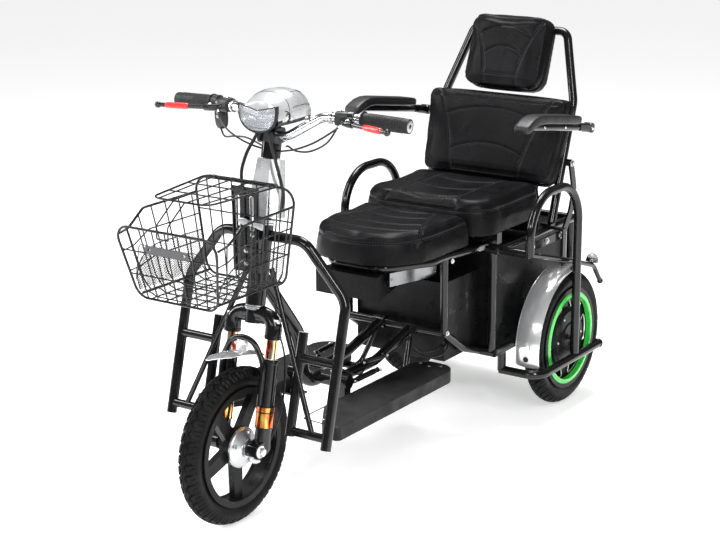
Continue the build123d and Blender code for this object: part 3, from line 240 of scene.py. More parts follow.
MATERIALS = {
    "tyre": make_tyre_rubber(),
    "wheel_black": black("wheel_black", 0.008, 0.26, 0.4, 0.15, grain=1400.0, relief=0.12),
    "frame_black": black("frame_gloss_black", 0.004, 0.1, 0.22, 0.4, grain=300.0, Coat_Weight=0.12),
    "chrome": worn("polished_chrome", (0.82, 0.83, 0.85), 0.12, 0.22, 0.72, grain=120.0, relief=0.002),
    "gold": make_anodised(),
    "alloy": worn("cast_alloy", (0.55, 0.56, 0.57), 0.28, 0.42, 1.0, grain=700.0, relief=0.1),
    "steel": worn("zinc_steel", (0.6, 0.6, 0.58), 0.2, 0.36, 1.0, relief=0.05),
    "grip": black("grip_rubber", 0.009, 0.45, 0.65, 0.35, grain=650.0, relief=0.4),
    "lever": worn("lever_black", (0.006, 0.006, 0.0065), 0.2, 0.34, relief=0.05, Coat_Weight=0.2),
    "silver_cover": worn(
        "silver_plastic", (0.56, 0.57, 0.58), 0.22, 0.32, 0.4, grain=2500.0, Coat_Weight=0.8
    ),
    "clear": make_clear(),
    "cable": worn(
        "cable_sheath", (0.007, 0.007, 0.007), 0.3, 0.45, grain=1500.0, relief=0.1, Specular_IOR_Level=0.35
    ),
    "board": make_mat(),
    "box_black": worn(
        "box_sheet_black", (0.003, 0.003, 0.0033), 0.25, 0.4, grain=800.0, relief=0.08, Specular_IOR_Level=0.16
    ),
    "leather": make_leather(),
    "arm_pad": worn(
        "arm_pad_grey", (0.011, 0.011, 0.012), 0.36, 0.5, grain=1100.0, relief=0.3, Specular_IOR_Level=0.4
    ),
    "wire": black("basket_wire_black", 0.006, 0.18, 0.3, 0.4),
    "lamp": worn("smoked_lamp", (0.55, 0.56, 0.56), 0.12, 0.2, Transmission_Weight=0.5),
}
for subpart in frame["record"]["subparts"]:
    mesh = NODES[subpart["node"]].data
    mesh.materials.clear()
    mesh.materials.append(MATERIALS[subpart["material_slot"]])
NODES["fork_stanchions"].data.materials[0] = make_stanchion()
NODES["handlebar"].data.materials[0] = worn(
    "satin_chrome", (0.6, 0.61, 0.63), 0.16, 0.24, 1.0, grain=120.0, relief=0.0
)

# Finishes of trim that differ from their slot's own.
THREAD = worn("black_thread", (0.035, 0.035, 0.037), 0.5, 0.7, relief=0.2)
LIME = worn("rim_lime", (0.03, 0.62, 0.05), 0.2, 0.32, Coat_Weight=0.5)
RED = worn("lever_red", (0.72, 0.025, 0.02), 0.25, 0.38, grain=1200.0, relief=0.06, Coat_Weight=0.3)
SWITCH_GREY = worn("switch_grey", (0.014, 0.0145, 0.016), 0.38, 0.5, grain=1500.0, relief=0.15)
PLATE_GREY = worn("blank_plate_grey", (0.07, 0.07, 0.073), 0.35, 0.5, 0.6, grain=900.0, relief=0.08)
MIRROR_GREY = worn("polished_plate", (0.26, 0.265, 0.27), 0.12, 0.3, 1.0, blotch=12.0, relief=0.02)
GLOW = worn("lamp_silver", (0.75, 0.76, 0.78), 0.1, 0.2, 1.0, relief=0.02)
SMOKED = worn("smoked_metal", (0.2, 0.2, 0.2), 0.14, 0.26, 1.0, relief=0.03)
BLACK = MATERIALS["frame_black"]
STEEL = MATERIALS["steel"]


# ================================================================ mesh helpers
# Profiles, radii and half widths are in millimetres. Places and directions are vectors in metres.
def put(name, bm, slot, body, sharp=35.0, material=None, others=()):
    """Makes a piece from a bmesh: smooth, with sharp edges kept, riding on a body."""
    mesh = bpy.data.meshes.new(name)
    bmesh.ops.recalc_face_normals(bm, faces=bm.faces[:])
    bm.to_mesh(mesh)
    bm.free()
    mesh.polygons.foreach_set("use_smooth", [True] * len(mesh.polygons))
    mesh.set_sharp_from_angle(angle=math.radians(sharp))
    piece = bpy.data.objects.new(name, mesh)
    bpy.context.scene.collection.objects.link(piece)
    for entry in (material or MATERIALS[slot], *others):
        mesh.materials.append(entry)
    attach(piece, body)
    return piece


def across(direction):
    """A direction and two more at right angles to it."""
    along = Vector(direction).normalized()
    first = along.orthogonal().normalized()
    return along, first, along.cross(first)


def circle(bm, middle, first, second, radius, count):
    """A ring of vertices in the plane of two directions."""
    ring = []
    for step in range(count):
        turn = 2 * math.pi * step / count
        ring.append(bm.verts.new(middle + (first * math.cos(turn) + second * math.sin(turn)) * (radius / 1000)))
    return ring


def skin(bm, rings, closed=True, index=0):
    """Faces between neighbouring rings of vertices. A ring of one vertex closes the end."""
    for low, high in zip(rings, rings[1:]):
        count = max(len(low), len(high))
        for step in range(count if closed else count - 1):
            after = (step + 1) % count
            corners = [
                low[step % len(low)],
                low[after % len(low)],
                high[after % len(high)],
                high[step % len(high)],
            ]
            face = bm.faces.new(list(dict.fromkeys(corners)))
            face.material_index = index


def lathe(bm, profile, origin, axis, count=48, index=0):
    """Turns a profile of (radius, distance along) about an axis."""
    along, first, second = across(axis)
    rings = []
    for radius, distance in profile:
        middle = origin + along * (distance / 1000)
        rings.append(circle(bm, middle, first, second, radius, count) if radius else [bm.verts.new(middle)])
    skin(bm, rings, index=index)


def smooth_line(points, steps=8):
    """A curve through the points, rounded between them."""
    points = [Vector(point) for point in points]
    padded = [points[0] * 2 - points[1], *points, points[-1] * 2 - points[-2]]
    line = []
    for before, start, end, after in zip(padded, padded[1:], padded[2:], padded[3:]):
        for step in range(steps):
            t = step / steps
            slope = (end - before) * t
            curve = (2 * before - 5 * start + 4 * end - after) * t * t
            twist = (3 * start - before - 3 * end + after) * t**3
            line.append(0.5 * (2 * start + slope + curve + twist))
    line.append(points[-1])
    return line


def tube(bm, line, radius, count=12, index=0):
    """A round tube with closed ends along a line of points. The radius may be one per point."""
    radii = radius if isinstance(radius, list) else [radius] * len(line)
    _, first, _ = across(line[1] - line[0])
    rings = [[bm.verts.new(line[0])]]
    for spot, point in enumerate(line):
        run = (line[min(spot + 1, len(line) - 1)] - line[max(spot - 1, 0)]).normalized()
        first = (first - run * first.dot(run)).normalized()
        rings.append(circle(bm, point, first, run.cross(first), radii[spot], count))
    rings.append([bm.verts.new(line[-1])])
    skin(bm, rings, index=index)


def cord(bm, route, radius, steps=8, count=10):
    """A tube that curves through places given in millimetres."""
    tube(bm, smooth_line([mm(*point) for point in route], steps), radius, count)


def bolt(bm, place, direction, radius, height, dome=False, index=0):
    """A hexagon head on a washer, or a dome head, standing on a surface."""
    if dome:
        shares = ((1, 0), (1, 0.3), (0.8, 0.75), (0.4, 1), (0, 1))
        lathe(bm, [(radius * a, height * b) for a, b in shares], place, direction, 16, index)
        return
    for shares, count in (
        (((1.35, 0), (1.35, 0.2), (0.6, 0.22)), 20),
        (((1, 0.15), (1, 0.88), (0.86, 1), (0, 1)), 6),
    ):
        lathe(bm, [(radius * a, height * b) for a, b in shares], place, direction, count, index)


def superellipse(turn, power):
    """A point of a rounded square outline."""
    c, s = math.cos(turn), math.sin(turn)
    return math.copysign(abs(c) ** (2 / power), c), math.copysign(abs(s) ** (2 / power), s)


def bar_along(bm, stations, side, power=4.0, count=24):
    """A padded bar through stations of (middle, up direction, half width, half height)."""
    rings = [[bm.verts.new(stations[0][0])]]
    for middle, up, half_width, half_height in stations:
        ring = []
        for step in range(count):
            a, b = superellipse(2 * math.pi * step / count, power)
            ring.append(bm.verts.new(middle + side * (a * half_width / 1000) + up * (b * half_height / 1000)))
        rings.append(ring)
    rings.append([bm.verts.new(stations[-1][0])])
    skin(bm, rings)


def apply_modifiers(piece):
    """Turns the piece's modifiers into a new mesh of its own."""
    graph = bpy.context.evaluated_depsgraph_get()
    mesh = bpy.data.meshes.new_from_object(piece.evaluated_get(graph), depsgraph=graph)
    piece.modifiers.clear()
    piece.data = mesh
    return mesh


# ================================================================ tyres
PITCHES = 44
STEPS_PER_PITCH = 12
GROOVE_DEPTH = 4.2
SHOULDER_R = 171
BEAD_R = 136.6
TYRE_SECTION = [
    (137.0, 18.0), (138.5, 19.8), (143.0, 21.6), (149.0, 23.8), (155.0, 26.2), (160.0, 27.5), (164.5, 28.0),
    (168.0, 27.6), (171.5, 26.4), (174.5, 24.8), (177.0, 23.2), (179.5, 21.4), (181.8, 19.4), (183.8, 17.2),
    (185.4, 15.0), (186.7, 12.9), (187.6, 11.1), (188.2, 9.6), (188.8, 7.9), (189.2, 6.3), (189.5, 4.8),
    (189.75, 3.2), (189.9, 1.6), (190.0, 0.0),
]


def zigzag(share):
    """A triangle wave from -1 to 1."""
    return 4 * abs(share - math.floor(share + 0.5)) - 1


def tread_cut(share, offset):
    """How deep the tread is cut, 0 to 1, at a share of a pitch and an offset across in millimetres."""
    side = 1 if offset > 0 else -1
    reach = abs(offset)
    cut = 0.0
    if abs(reach - 8.0 - 2.6 * zigzag(share + (0.25 if side > 0 else 0.0))) < 1.7:
        cut = 1.0
    if reach < 6 and abs(offset - 1.6 * zigzag(share + 0.5)) < 0.9:
        cut = max(cut, 0.7)
    slot = (share + 0.012 * reach * side) % 1.0
    if reach > 10.5 and abs(slot - 0.5) < 0.15:
        cut = 1.0
    if reach > 15 and abs(slot - 0.02) < 0.08:
        cut = max(cut, 0.8)
    return cut


def make_tyre(name, node, body, hub):
    """A tyre with zigzag grooves, shoulder blocks and fine side wall ribs."""
    section = TYRE_SECTION + [(radius, -offset) for radius, offset in reversed(TYRE_SECTION[:-1])]
    section += [(BEAD_R, -10.0), (BEAD_R, 0.0), (BEAD_R, 10.0)]
    total = PITCHES * STEPS_PER_PITCH
    bm = bmesh.new()
    rings = []
    for step in range(total):
        turn = 2 * math.pi * step / total
        ring = []
        for radius, offset in section:
            place, sideways = radius, offset
            if radius > SHOULDER_R:
                cut = tread_cut(step / STEPS_PER_PITCH, offset)
                place -= GROOVE_DEPTH * cut * min(1.0, (radius - 169.0) / 6)
            if 150 < radius < 169:
                sideways *= 1 - 0.012 * (0.5 + 0.5 * math.cos(radius * 2.1))
            offsets = Vector((sideways, math.cos(turn) * place, math.sin(turn) * place))
            ring.append(bm.verts.new(hub + offsets / 1000))
        rings.append(ring)
    rings.append(rings[0])
    skin(bm, rings)
    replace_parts(put(name, bm, "tyre", body, 50.0), node)


make_tyre("front_tyre_tread", "front_tyre", "front_wheel_body", FRONT_HUB)
for side_name, hub in REAR_HUBS.items():
    make_tyre("rear_tyre_tread_" + side_name, "rear_tyre_" + side_name, f"rear_wheel_{side_name}_body", hub)


# ================================================================ cushions
VOXEL = 0.0055
CLOTH_FRAMES = 20
PRESSURE = 4.0
SWELL_CAP = 0.009
EVEN_ROUNDS = 14
SEAM_DEPTH = 0.0022
SEAM_WIDTH = 0.0042
STITCH_LENGTH = 0.0042
STITCH_GAP = 0.0026
THREAD_R = 0.0006
ACROSS = (-1, -0.66, -0.33, 0, 0.33, 0.66, 1)
FRONT_LOW, FRONT_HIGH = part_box("front_cushion")
REAR_LOW, REAR_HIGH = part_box("rear_cushion")
RECLINE = math.radians(19.0)
BACK_NORMAL = Vector((0, -math.cos(RECLINE), math.sin(RECLINE)))
BACK_UP = Vector((0, math.sin(RECLINE), math.cos(RECLINE)))
BACK_FOOT = mm(0, 1135, 636)


def soften(mesh, moves, rounds):
    """Evens out how the points move, so the cover stays taut and free of small wrinkles."""
    neighbours = [[] for _ in mesh.vertices]
    for edge in mesh.edges:
        one, two = edge.vertices
        neighbours[one].append(two)
        neighbours[two].append(one)
    for _ in range(rounds):
        moves = [
            move * 0.4 + sum((moves[other] for other in others), Vector()) * (0.6 / len(others)) if others else move
            for move, others in zip(moves, neighbours)
        ]
    return moves


def swell(piece, body_box, held):
    """Blows the cover up a little, like leather over foam, and keeps it in its box."""
    remesh = piece.modifiers.new("remesh", "REMESH")
    remesh.mode = "VOXEL"
    remesh.voxel_size = VOXEL
    mesh = apply_modifiers(piece)
    start = [vertex.co.copy() for vertex in mesh.vertices]
    group = piece.vertex_groups.new(name="held")
    group.add([i for i, co in enumerate(start) if held(co)], 1.0, "REPLACE")
    cloth = piece.modifiers.new("cloth", "CLOTH")
    cloth.settings.use_pressure = True
    cloth.settings.uniform_pressure_force = PRESSURE
    cloth.settings.effector_weights.gravity = 0
    cloth.settings.vertex_group_mass = "held"
    cloth.settings.quality = 5
    cloth.point_cache.frame_end = CLOTH_FRAMES
    for number in range(1, CLOTH_FRAMES + 1):
        bpy.context.scene.frame_set(number)
    swollen = apply_modifiers(piece)
    bpy.context.scene.frame_set(1)
    moves = [vertex.co - was for vertex, was in zip(swollen.vertices, start)]
    moves = [move * min(1.0, SWELL_CAP / max(move.length, 1e-9)) for move in moves]
    for vertex, was, move in zip(swollen.vertices, start, soften(swollen, moves, EVEN_ROUNDS)):
        vertex.co = Vector(max(l, min(h, p)) for l, h, p in zip(*body_box, was + move))
    piece.vertex_groups.clear()
    piece.modifiers.new("finer", "SUBSURF").levels = 1
    apply_modifiers(piece)


def surface_tree(mesh):
    """A search tree over the mesh's faces."""
    return BVHTree.FromPolygons([v.co for v in mesh.vertices], [tuple(p.vertices) for p in mesh.polygons])


def sew(mesh, seams):
    """Presses seams into the cover. Each seam is a line of points near the surface."""
    tree = surface_tree(mesh)
    lines = [[tree.find_nearest(point)[0] for point in points] for points in seams]
    near = KDTree(sum(len(line) for line in lines))
    for number, hit in enumerate(hit for line in lines for hit in line):
        near.insert(hit, number)
    near.balance()
    normals = [vertex.normal.copy() for vertex in mesh.vertices]
    for vertex, normal in zip(mesh.vertices, normals):
        _, _, distance = near.find(vertex.co)
        if distance < SEAM_WIDTH * 2.4:
            vertex.co -= normal * (SEAM_DEPTH * math.exp(-((distance / SEAM_WIDTH) ** 2)))
    return lines


def fine_line(points, step=0.0015):
    """The same curve with points at even small steps."""
    line = smooth_line(points, 10)
    fine = [line[0]]
    for start, end in zip(line, line[1:]):
        count = max(1, round((end - start).length / step))
        fine += [start.lerp(end, (number + 1) / count) for number in range(count)]
    return fine


def one_stitch(bm, tree, start, end, shift):
    """One thread from a point to another, moved sideways by shift and laid on the surface."""
    direction = (end - start).normalized()
    hit, normal, _, _ = tree.find_nearest((start + end) / 2)
    sideways = direction.cross(normal)
    hit, normal, _, _ = tree.find_nearest(hit + sideways * shift)
    thread = hit + normal * (THREAD_R * 0.35)
    half = direction * (STITCH_LENGTH / 2)
    sunk = normal * THREAD_R * 0.6
    rings = [[bm.verts.new(thread - half - sunk)]]
    for share in (-0.7, 0.7):
        spot = thread + half * share
        reach = THREAD_R * 0.8
        rings.append(
            [bm.verts.new(spot + way * reach) for way in (sideways, normal, -sideways, -normal)]
        )
    rings.append([bm.verts.new(thread + half - sunk)])
    skin(bm, rings)


def stitch(bm, tree, line, shift):
    """Thread stitches along a seam, moved sideways by shift."""
    travelled = 0.0
    start = end = line[0]
    for here, there in zip(line, line[1:]):
        travelled += (there - here).length
        if travelled <= STITCH_LENGTH:
            end = there
        if travelled < STITCH_LENGTH + STITCH_GAP:
            continue
        if (end - start).length > 1e-5:
            one_stitch(bm, tree, start, end, shift)
        travelled = 0.0
        start = end = there


def make_cushion(node, shrink, held, seams, double):
    """A leather cushion from its CAD solid, with pressed seams and thread."""
    low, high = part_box(node)
    middle = (low + high) / 2
    name = node + "_cover"
    mesh = NODES[node].data.copy()
    for vertex in mesh.vertices:
        vertex.co = middle + Vector(o * s for o, s in zip(vertex.co - middle, shrink))
    piece = bpy.data.objects.new(name, mesh)
    bpy.context.scene.collection.objects.link(piece)
    swell(piece, (low, high), held)
    mesh = piece.data
    mesh.materials.clear()
    mesh.materials.append(MATERIALS["leather"])
    mesh.polygons.foreach_set("use_smooth", [True] * len(mesh.polygons))
    lines = sew(mesh, [fine_line(points) for points in seams])
    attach(piece, "frame")
    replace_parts(piece, node)
    bm = bmesh.new()
    tree = surface_tree(mesh)
    for number, line in enumerate(lines):
        for shift in (0.0032, -0.0032) if number in double else (0.0026,):
            stitch(bm, tree, line, shift)
    put(name + "_stitching", bm, "leather", "frame", 180.0, THREAD)


def mirrored_line(points):
    return [Vector((-x, y, z)) for x, y, z in points]


def front_cushion_seams():
    """Two flaring side seams, four curved cross seams and a seam round the boxing."""
    top = FRONT_HIGH.z + 0.003
    front, rear = FRONT_LOW.y, FRONT_HIGH.y
    side = [
        (x, rear - back, top - drop)
        for x, back, drop in (
            (0.076, 0.004, 0), (0.083, 0.05, 0), (0.097, 0.10, 0), (0.112, 0.14, 0), (0.130, 0.172, 0),
            (0.146, 0.20, 0.005), (0.158, 0.226, 0.02), (0.163, 0.243, 0.034),
        )
    ]
    seams = [side, mirrored_line(side)]
    for back, reach in ((0.028, 0.079), (0.088, 0.092), (0.154, 0.119), (0.210, 0.147)):
        sag = 0.020 + reach * 0.16
        seams.append(
            [(x * reach, rear - back - sag * (1 - x * x), top if abs(x) < 0.9 else top - 0.003) for x in ACROSS]
        )
    boxing = [
        (x * FRONT_HIGH.x, y, FRONT_HIGH.z - 0.022)
        for x, y in (
            (1.0, rear - 0.002), (1.0, rear - 0.06), (1.0, rear - 0.12), (0.995, front + 0.176),
            (0.93, front + 0.094), (0.85, front + 0.058), (0.70, front + 0.034), (0.36, front + 0.008), (0.0, front),
        )
    ]
    return [*seams, both_sides(boxing)]


def rear_cushion_seams():
    """Two side seams, three curved cross seams and a seam round the boxing."""
    top = REAR_HIGH.z + 0.003
    front, rear = REAR_LOW.y, REAR_HIGH.y
    half = REAR_HIGH.x
    side = [
        (0.094, rear - 0.01, top), (0.092, rear - 0.1, top), (0.092, rear - 0.2, top), (0.098, rear - 0.28, top),
        (0.108, front + 0.016, top - 0.01), (0.112, front + 0.001, top - 0.026),
    ]
    seams = [side, mirrored_line(side)]
    for back in (0.075, 0.175, 0.272):
        seams.append([(x * 0.092, rear - back - 0.034 * (1 - x * x), top) for x in ACROSS])
    boxing = [
        (x, y, REAR_HIGH.z - 0.026)
        for x, y in (
            (half, rear - 0.03), (half, rear - 0.15), (half, front + 0.084), (half - 0.02, front + 0.026),
            (half - 0.08, front), (half - 0.15, front), (0, front),
        )
    ]
    return [*seams, both_sides(boxing)]


def back_point(x, up, out=0.004):
    """A point across, up and out of the leaning back, in metres."""
    return BACK_FOOT + Vector((x, 0, 0)) + BACK_UP * up + BACK_NORMAL * out


def back_seams(sides, arcs, low, edge):
    """Side seams, arched cross seams, a low seam and a seam round the edge of a back pad."""
    side = [back_point(x, up) for x, up in sides]
    seams = [side, mirrored_line(side)]
    for ends, rise, reach in arcs:
        seams.append([back_point(x * reach, ends + rise * (1 - x * x)) for x in ACROSS])
    up, reach = low
    seams.append([back_point(x * reach, up) for x in (-1, -0.5, 0, 0.5, 1)])
    outline = [back_point(x, up, -0.024) for x, up in edge]
    return [*seams, outline + mirrored_line(reversed(outline))]


def on_back_board(co):
    """Whether a point of a back pad lies against its board."""
    return (co - BACK_FOOT).dot(BACK_NORMAL) < -0.048


make_cushion(
    "front_cushion", (0.985, 0.985, 0.955), lambda co: co.z < FRONT_LOW.z + 0.014, front_cushion_seams(), (0, 1, 6)
)
make_cushion(
    "rear_cushion", (0.988, 0.985, 0.955), lambda co: co.z < REAR_LOW.z + 0.014, rear_cushion_seams(), (0, 1, 5)
)
BACKREST_SEAMS = back_seams(
    ((0.104, -0.014), (0.112, 0.03), (0.124, 0.085), (0.143, 0.145), (0.166, 0.197), (0.185, 0.236)),
    ((0.058, 0.028, 0.119), (0.158, 0.028, 0.147)),
    (0.004, 0.107),
    (
        (0, -0.014), (0.12, -0.014), (0.183, -0.008), (0.206, 0.02), (0.216, 0.11), (0.226, 0.20),
        (0.205, 0.234), (0.12, 0.238), (0, 0.238),
    ),
)
make_cushion("backrest", (0.99, 0.99, 0.99), on_back_board, BACKREST_SEAMS, (0, 1, 4))
HEADREST_SEAMS = back_seams(
    ((0.050, 0.250), (0.054, 0.30), (0.066, 0.35), (0.088, 0.40), (0.112, 0.442)),
    ((0.338, 0.024, 0.062), (0.392, 0.026, 0.083)),
    (0.282, 0.052),
    (
        (0, 0.245), (0.08, 0.245), (0.116, 0.257), (0.125, 0.31), (0.125, 0.39), (0.116, 0.445),
        (0.08, 0.457), (0, 0.457),
    ),
)
make_cushion("headrest", (0.985, 0.99, 0.99), on_back_board, HEADREST_SEAMS, (0, 1, 4))


# ================================================================ rear wheels
RIM_RING = [
    (131.5, 22.0), (131.5, 27.8), (130.2, 28.4), (121.6, 30.2), (119.6, 29.9), (118.4, 28.2), (118.4, 15.0),
    (131.5, 15.0), (131.5, 22.0),
]
HUB_STEPS = [
    (79.0, 20.5), (76.0, 24.4), (60.0, 24.8), (58.0, 23.4), (44.0, 23.6), (40.0, 27.0), (22.0, 27.6), (20.0, 25.0),
]
WINDOW_EDGE = [
    (90, -13), (113, -20), (116.5, -10), (117, 0), (116.5, 10), (113, 20), (90, 13), (87, 0), (90, -13),
]
VALVE_STEM = [(3.2, 0), (3.2, 12), (2.2, 12.5), (2.2, 18), (3.0, 18.4), (3.0, 24), (0, 25)]
WINDOW_TURNS = range(0, 360, 60)


def wheel_point(hub, side, radius, degrees, offset):
    """A place on a wheel: its radius, angle and distance out from the wheel's middle."""
    turn = math.radians(degrees)
    return hub + Vector((side * offset, math.cos(turn) * radius, math.sin(turn) * radius)) / 1000


def dress_rear_wheel(side_name, hub):
    """Painted rings on the rim, polished window edges, a stepped hub cover with bolts, and a valve."""
    body = "rear_wheel_" + side_name + "_body"
    rings, cover, edges, valve = (bmesh.new() for _ in range(4))
    for out in (1, -1):
        outward = X_AXIS * out
        lathe(rings, RIM_RING, hub, outward, 96)
        lathe(cover, HUB_STEPS, hub, outward, 72)
        for middle in WINDOW_TURNS:
            bolt(cover, wheel_point(hub, out, 68, middle, 24.4), outward, 3.8, 3.0, True, 1)
            line = [wheel_point(hub, out, radius, middle + turn, 11.0) for radius, turn in WINDOW_EDGE]
            tube(edges, smooth_line(line, 4), 1.5, 8)
    foot = wheel_point(hub, 1, 127, 30, 0)
    lathe(valve, VALVE_STEM, foot, hub - foot, 12)
    put("rim_rings_" + side_name, rings, "wheel_black", body, material=LIME)
    put("hub_cover_" + side_name, cover, "wheel_black", body, others=(STEEL,))
    put("window_edges_" + side_name, edges, "chrome", body)
    put("valve_" + side_name, valve, "cable", body)


for side_name, hub in REAR_HUBS.items():
    dress_rear_wheel(side_name, hub)

# ================================================================ armrests
ARM_PITCH = math.radians(9.0)
ARM_ALONG = Vector((0, -math.cos(ARM_PITCH), math.sin(ARM_PITCH)))
ARM_UP = Vector((0, math.sin(ARM_PITCH), math.cos(ARM_PITCH)))
ARM_PAD_HALF = 23.0
ARM_EYE = [(4, -12.9), (13, -12.9), (14, -11.5), (14, 11.5), (13, 12.9), (4, 12.9)]


def make_armrest(side_name, side):
    """A moulded pad whose front end droops, on a tube that ends in an eye on the pivot."""
    body = "arm_" + side_name
    pivot = Vector(JOINTS["armrest_" + side_name + "_lift"]["pos_m"])
    reach = 1000 * (pivot.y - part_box("armrest_" + side_name)[0].y) / math.cos(ARM_PITCH) - 2

    def arm_point(along, up, x=0.0):
        return pivot + ARM_ALONG * (along / 1000) + ARM_UP * (up / 1000) + X_AXIS * (x / 1000)

    # Along and above the arm, half thickness, share of the full half width.
    spine = [
        (84, 22, 5, 0.70),
        (87, 22, 9, 0.90),
        (94, 22, 11.5, 0.98),
        (130, 22.5, 12.5, 1.0),
        (reach - 130, 22.5, 12.5, 1.0),
        (reach - 92, 22, 12.8, 1.0),
        (reach - 68, 19.5, 13.2, 1.0),
        (reach - 46, 13, 13.6, 1.0),
        (reach - 26, 3, 13, 1.0),
        (reach - 12, -5, 11.5, 0.98),
        (reach - 6, -9, 9, 0.90),
        (reach - 3, -11, 5, 0.72),
    ]
    stations = []
    for index, (along, up, half_height, width_share) in enumerate(spine):
        before = arm_point(*spine[max(index - 1, 0)][:2])
        after = arm_point(*spine[min(index + 1, len(spine) - 1)][:2])
        lift = (after - before).normalized().cross(X_AXIS)
        stations.append((arm_point(along, up), lift, ARM_PAD_HALF * width_share, half_height))
    pad = bmesh.new()
    bar_along(pad, stations, X_AXIS, 5.0, 40)
    tube(pad, [arm_point(-2, 0), arm_point(reach - 62, 0)], 9.0, 20, 1)
    lathe(pad, ARM_EYE, pivot, X_AXIS, 32, 1)
    piece = put("armrest_pad_" + side_name, pad, "arm_pad", body, 40.0, others=(BLACK,))
    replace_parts(piece, "armrest_" + side_name)

    seam = bmesh.new()
    for x in (-ARM_PAD_HALF, ARM_PAD_HALF):
        line = [arm_point(along, up + 1.5, x * share) for along, up, _, share in spine[2:-2]]
        tube(seam, smooth_line(line, 3), 0.7, 6)
    put("armrest_seam_" + side_name, seam, "cable", body)

    screws = bmesh.new()
    outward = X_AXIS * side
    for along in (reach - 118, reach - 236):
        bolt(screws, arm_point(along, 1, side * 8.6), outward, 4.2, 2.6, True)
    bolt(screws, arm_point(0, 0, side * 12.9), outward, 6.5, 4.0, True)
    bolt(screws, arm_point(30, -9), -ARM_UP, 5.0, 4.0)
    put("armrest_screws_" + side_name, screws, "steel", body)

    bracket = bmesh.new()
    cheek = ((14, 0, 12.5), (46, 1, 11.5), (66, 2, 10.5))
    bar_along(bracket, [(arm_point(along, up), ARM_UP, half, half) for along, up, half in cheek], X_AXIS, 6.0)
    put("armrest_bracket_" + side_name, bracket, "frame_black", body)


for side_name, side in SIDES.items():
    make_armrest(side_name, side)

# ================================================================ headlamp
LAMP_BASE_Z = 928.8
LAMP_HEIGHT = 81.0
LAMP_HALF = 63.5
LAMP_FRONT_Y = 124.0
LAMP_LENGTH = 159.0
LENS_HALF = 52.5
LENS_HEIGHT = 59.0
LENS_LOW_Z = 920.8
LENS_MIDDLE_Z = LENS_HEIGHT * 0.52
# Share of the lamp's length, and there the shares of its half width and height.
LAMP_FORM = [
    (0.00, 0.82, 0.74),
    (0.06, 0.88, 0.82),
    (0.22, 0.97, 0.94),
    (0.42, 1.00, 1.00),
    (0.60, 0.95, 0.98),
    (0.76, 0.84, 0.88),
    (0.88, 0.68, 0.72),
    (0.96, 0.50, 0.52),
    (1.00, 0.34, 0.36),
]


def lamp_point(share, degrees, proud=0.0):
    """A point of the housing, from its front (0) to its rear (1), round from its left side over the top."""
    for low, high in zip(LAMP_FORM, LAMP_FORM[1:]):
        if share <= high[0]:
            break
    t = min(1.0, (share - low[0]) / (high[0] - low[0]))
    width = LAMP_HALF * (low[1] + (high[1] - low[1]) * t) + proud
    height = LAMP_HEIGHT * (low[2] + (high[2] - low[2]) * t) + proud
    c, s = math.cos(math.radians(degrees)), math.sin(math.radians(degrees))
    x = math.copysign(abs(c) ** 0.78, c) * width
    z = height * (0.30 + 0.70 * abs(s) ** 0.88) if s > 0 else height * 0.30 * (1 - abs(s) ** 0.55)
    return mm(x, LAMP_FRONT_Y + share * LAMP_LENGTH, LAMP_BASE_Z + z)


def lens_top(x):
    """The height of the lens's notched top edge at a share of its half width."""
    return LENS_HEIGHT * (0.8 + 0.2 * abs(x))


def make_lamp_housing():
    """The silver dome over the stem, black underneath, with fine panel gaps."""
    count = 64
    housing = bmesh.new()
    rings = []
    for index in range(29):
        rings.append([housing.verts.new(lamp_point(index / 28, 360 * step / count)) for step in range(count)])
    rings.append([housing.verts.new(mm(0, LAMP_FRONT_Y + LAMP_LENGTH + 0.8, LAMP_BASE_Z + LAMP_HEIGHT * 0.14))])
    skin(housing, rings)
    for face in housing.faces:
        if face.calc_center_median().z < (LAMP_BASE_Z + 17) / 1000:
            face.material_index = 1
    piece = put("headlamp_housing", housing, "silver_cover", "steering", 50.0, others=(SWITCH_GREY,))
    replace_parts(piece, "headlamp")

    gaps = bmesh.new()
    visor = [lamp_point(0.20 + 0.05 * math.sin(math.radians(turn)), turn, 0.1) for turn in range(4, 177, 6)]
    tube(gaps, visor, 0.7, 6)
    for turn in (62, 118):
        tube(gaps, [lamp_point(0.26 + 0.04 * index, turn, 0.1) for index in range(13)], 0.6, 6)
    tube(gaps, [lamp_point(0.74, turn, 0.1) for turn in range(62, 119, 4)], 0.6, 6)
    for turn in (20, 160):
        tube(gaps, [lamp_point(0.30 + 0.02 * index, turn, 0.1) for index in range(26)], 0.6, 6)
    put("headlamp_gaps", gaps, "cable", "steering")

    brow = bmesh.new()
    rows = []
    for index in range(29):
        x = (index / 14 - 1) * 0.985
        arch = lamp_point(0.0, math.degrees(math.acos(abs(x) ** (1 / 0.78))))
        arch.x = math.copysign(arch.x, x)
        low = mm(x * LAMP_HALF * LAMP_FORM[0][1], 114.5, LENS_LOW_Z + lens_top(x) + 2.0)
        middle = low.lerp(arch, 0.45) + Vector((0, -0.0022, 0.001))
        rows.append([brow.verts.new(point) for point in (low + Vector((0, 0.009, -0.001)), low, middle, arch)])
    skin(brow, rows, closed=False)
    put("headlamp_brow", brow, "silver_cover", "steering", 60.0)

    neck = bmesh.new()
    bar_along(neck, [(mm(0, 165.7, z), Y_AXIS, 22, 13) for z in (923, 935)], X_AXIS, 6.0, 20)
    put("headlamp_neck", neck, "silver_cover", "steering", material=SWITCH_GREY)


def lens_outline():
    """The lens's edge: a shallow notch on top and a rounded foot."""
    foot = [(1.0, 1.0), (0.99, 0.72), (0.90, 0.42), (0.72, 0.20), (0.48, 0.07), (0.24, 0.012), (0.0, 0.0)]
    right = smooth_line([Vector((x * LENS_HALF, z * LENS_HEIGHT, 0)) for x, z in foot], 4)
    return both_sides([(x, z) for x, z, _ in right]) + [(x * LENS_HALF, lens_top(x)) for x in ACROSS[1:-1]]


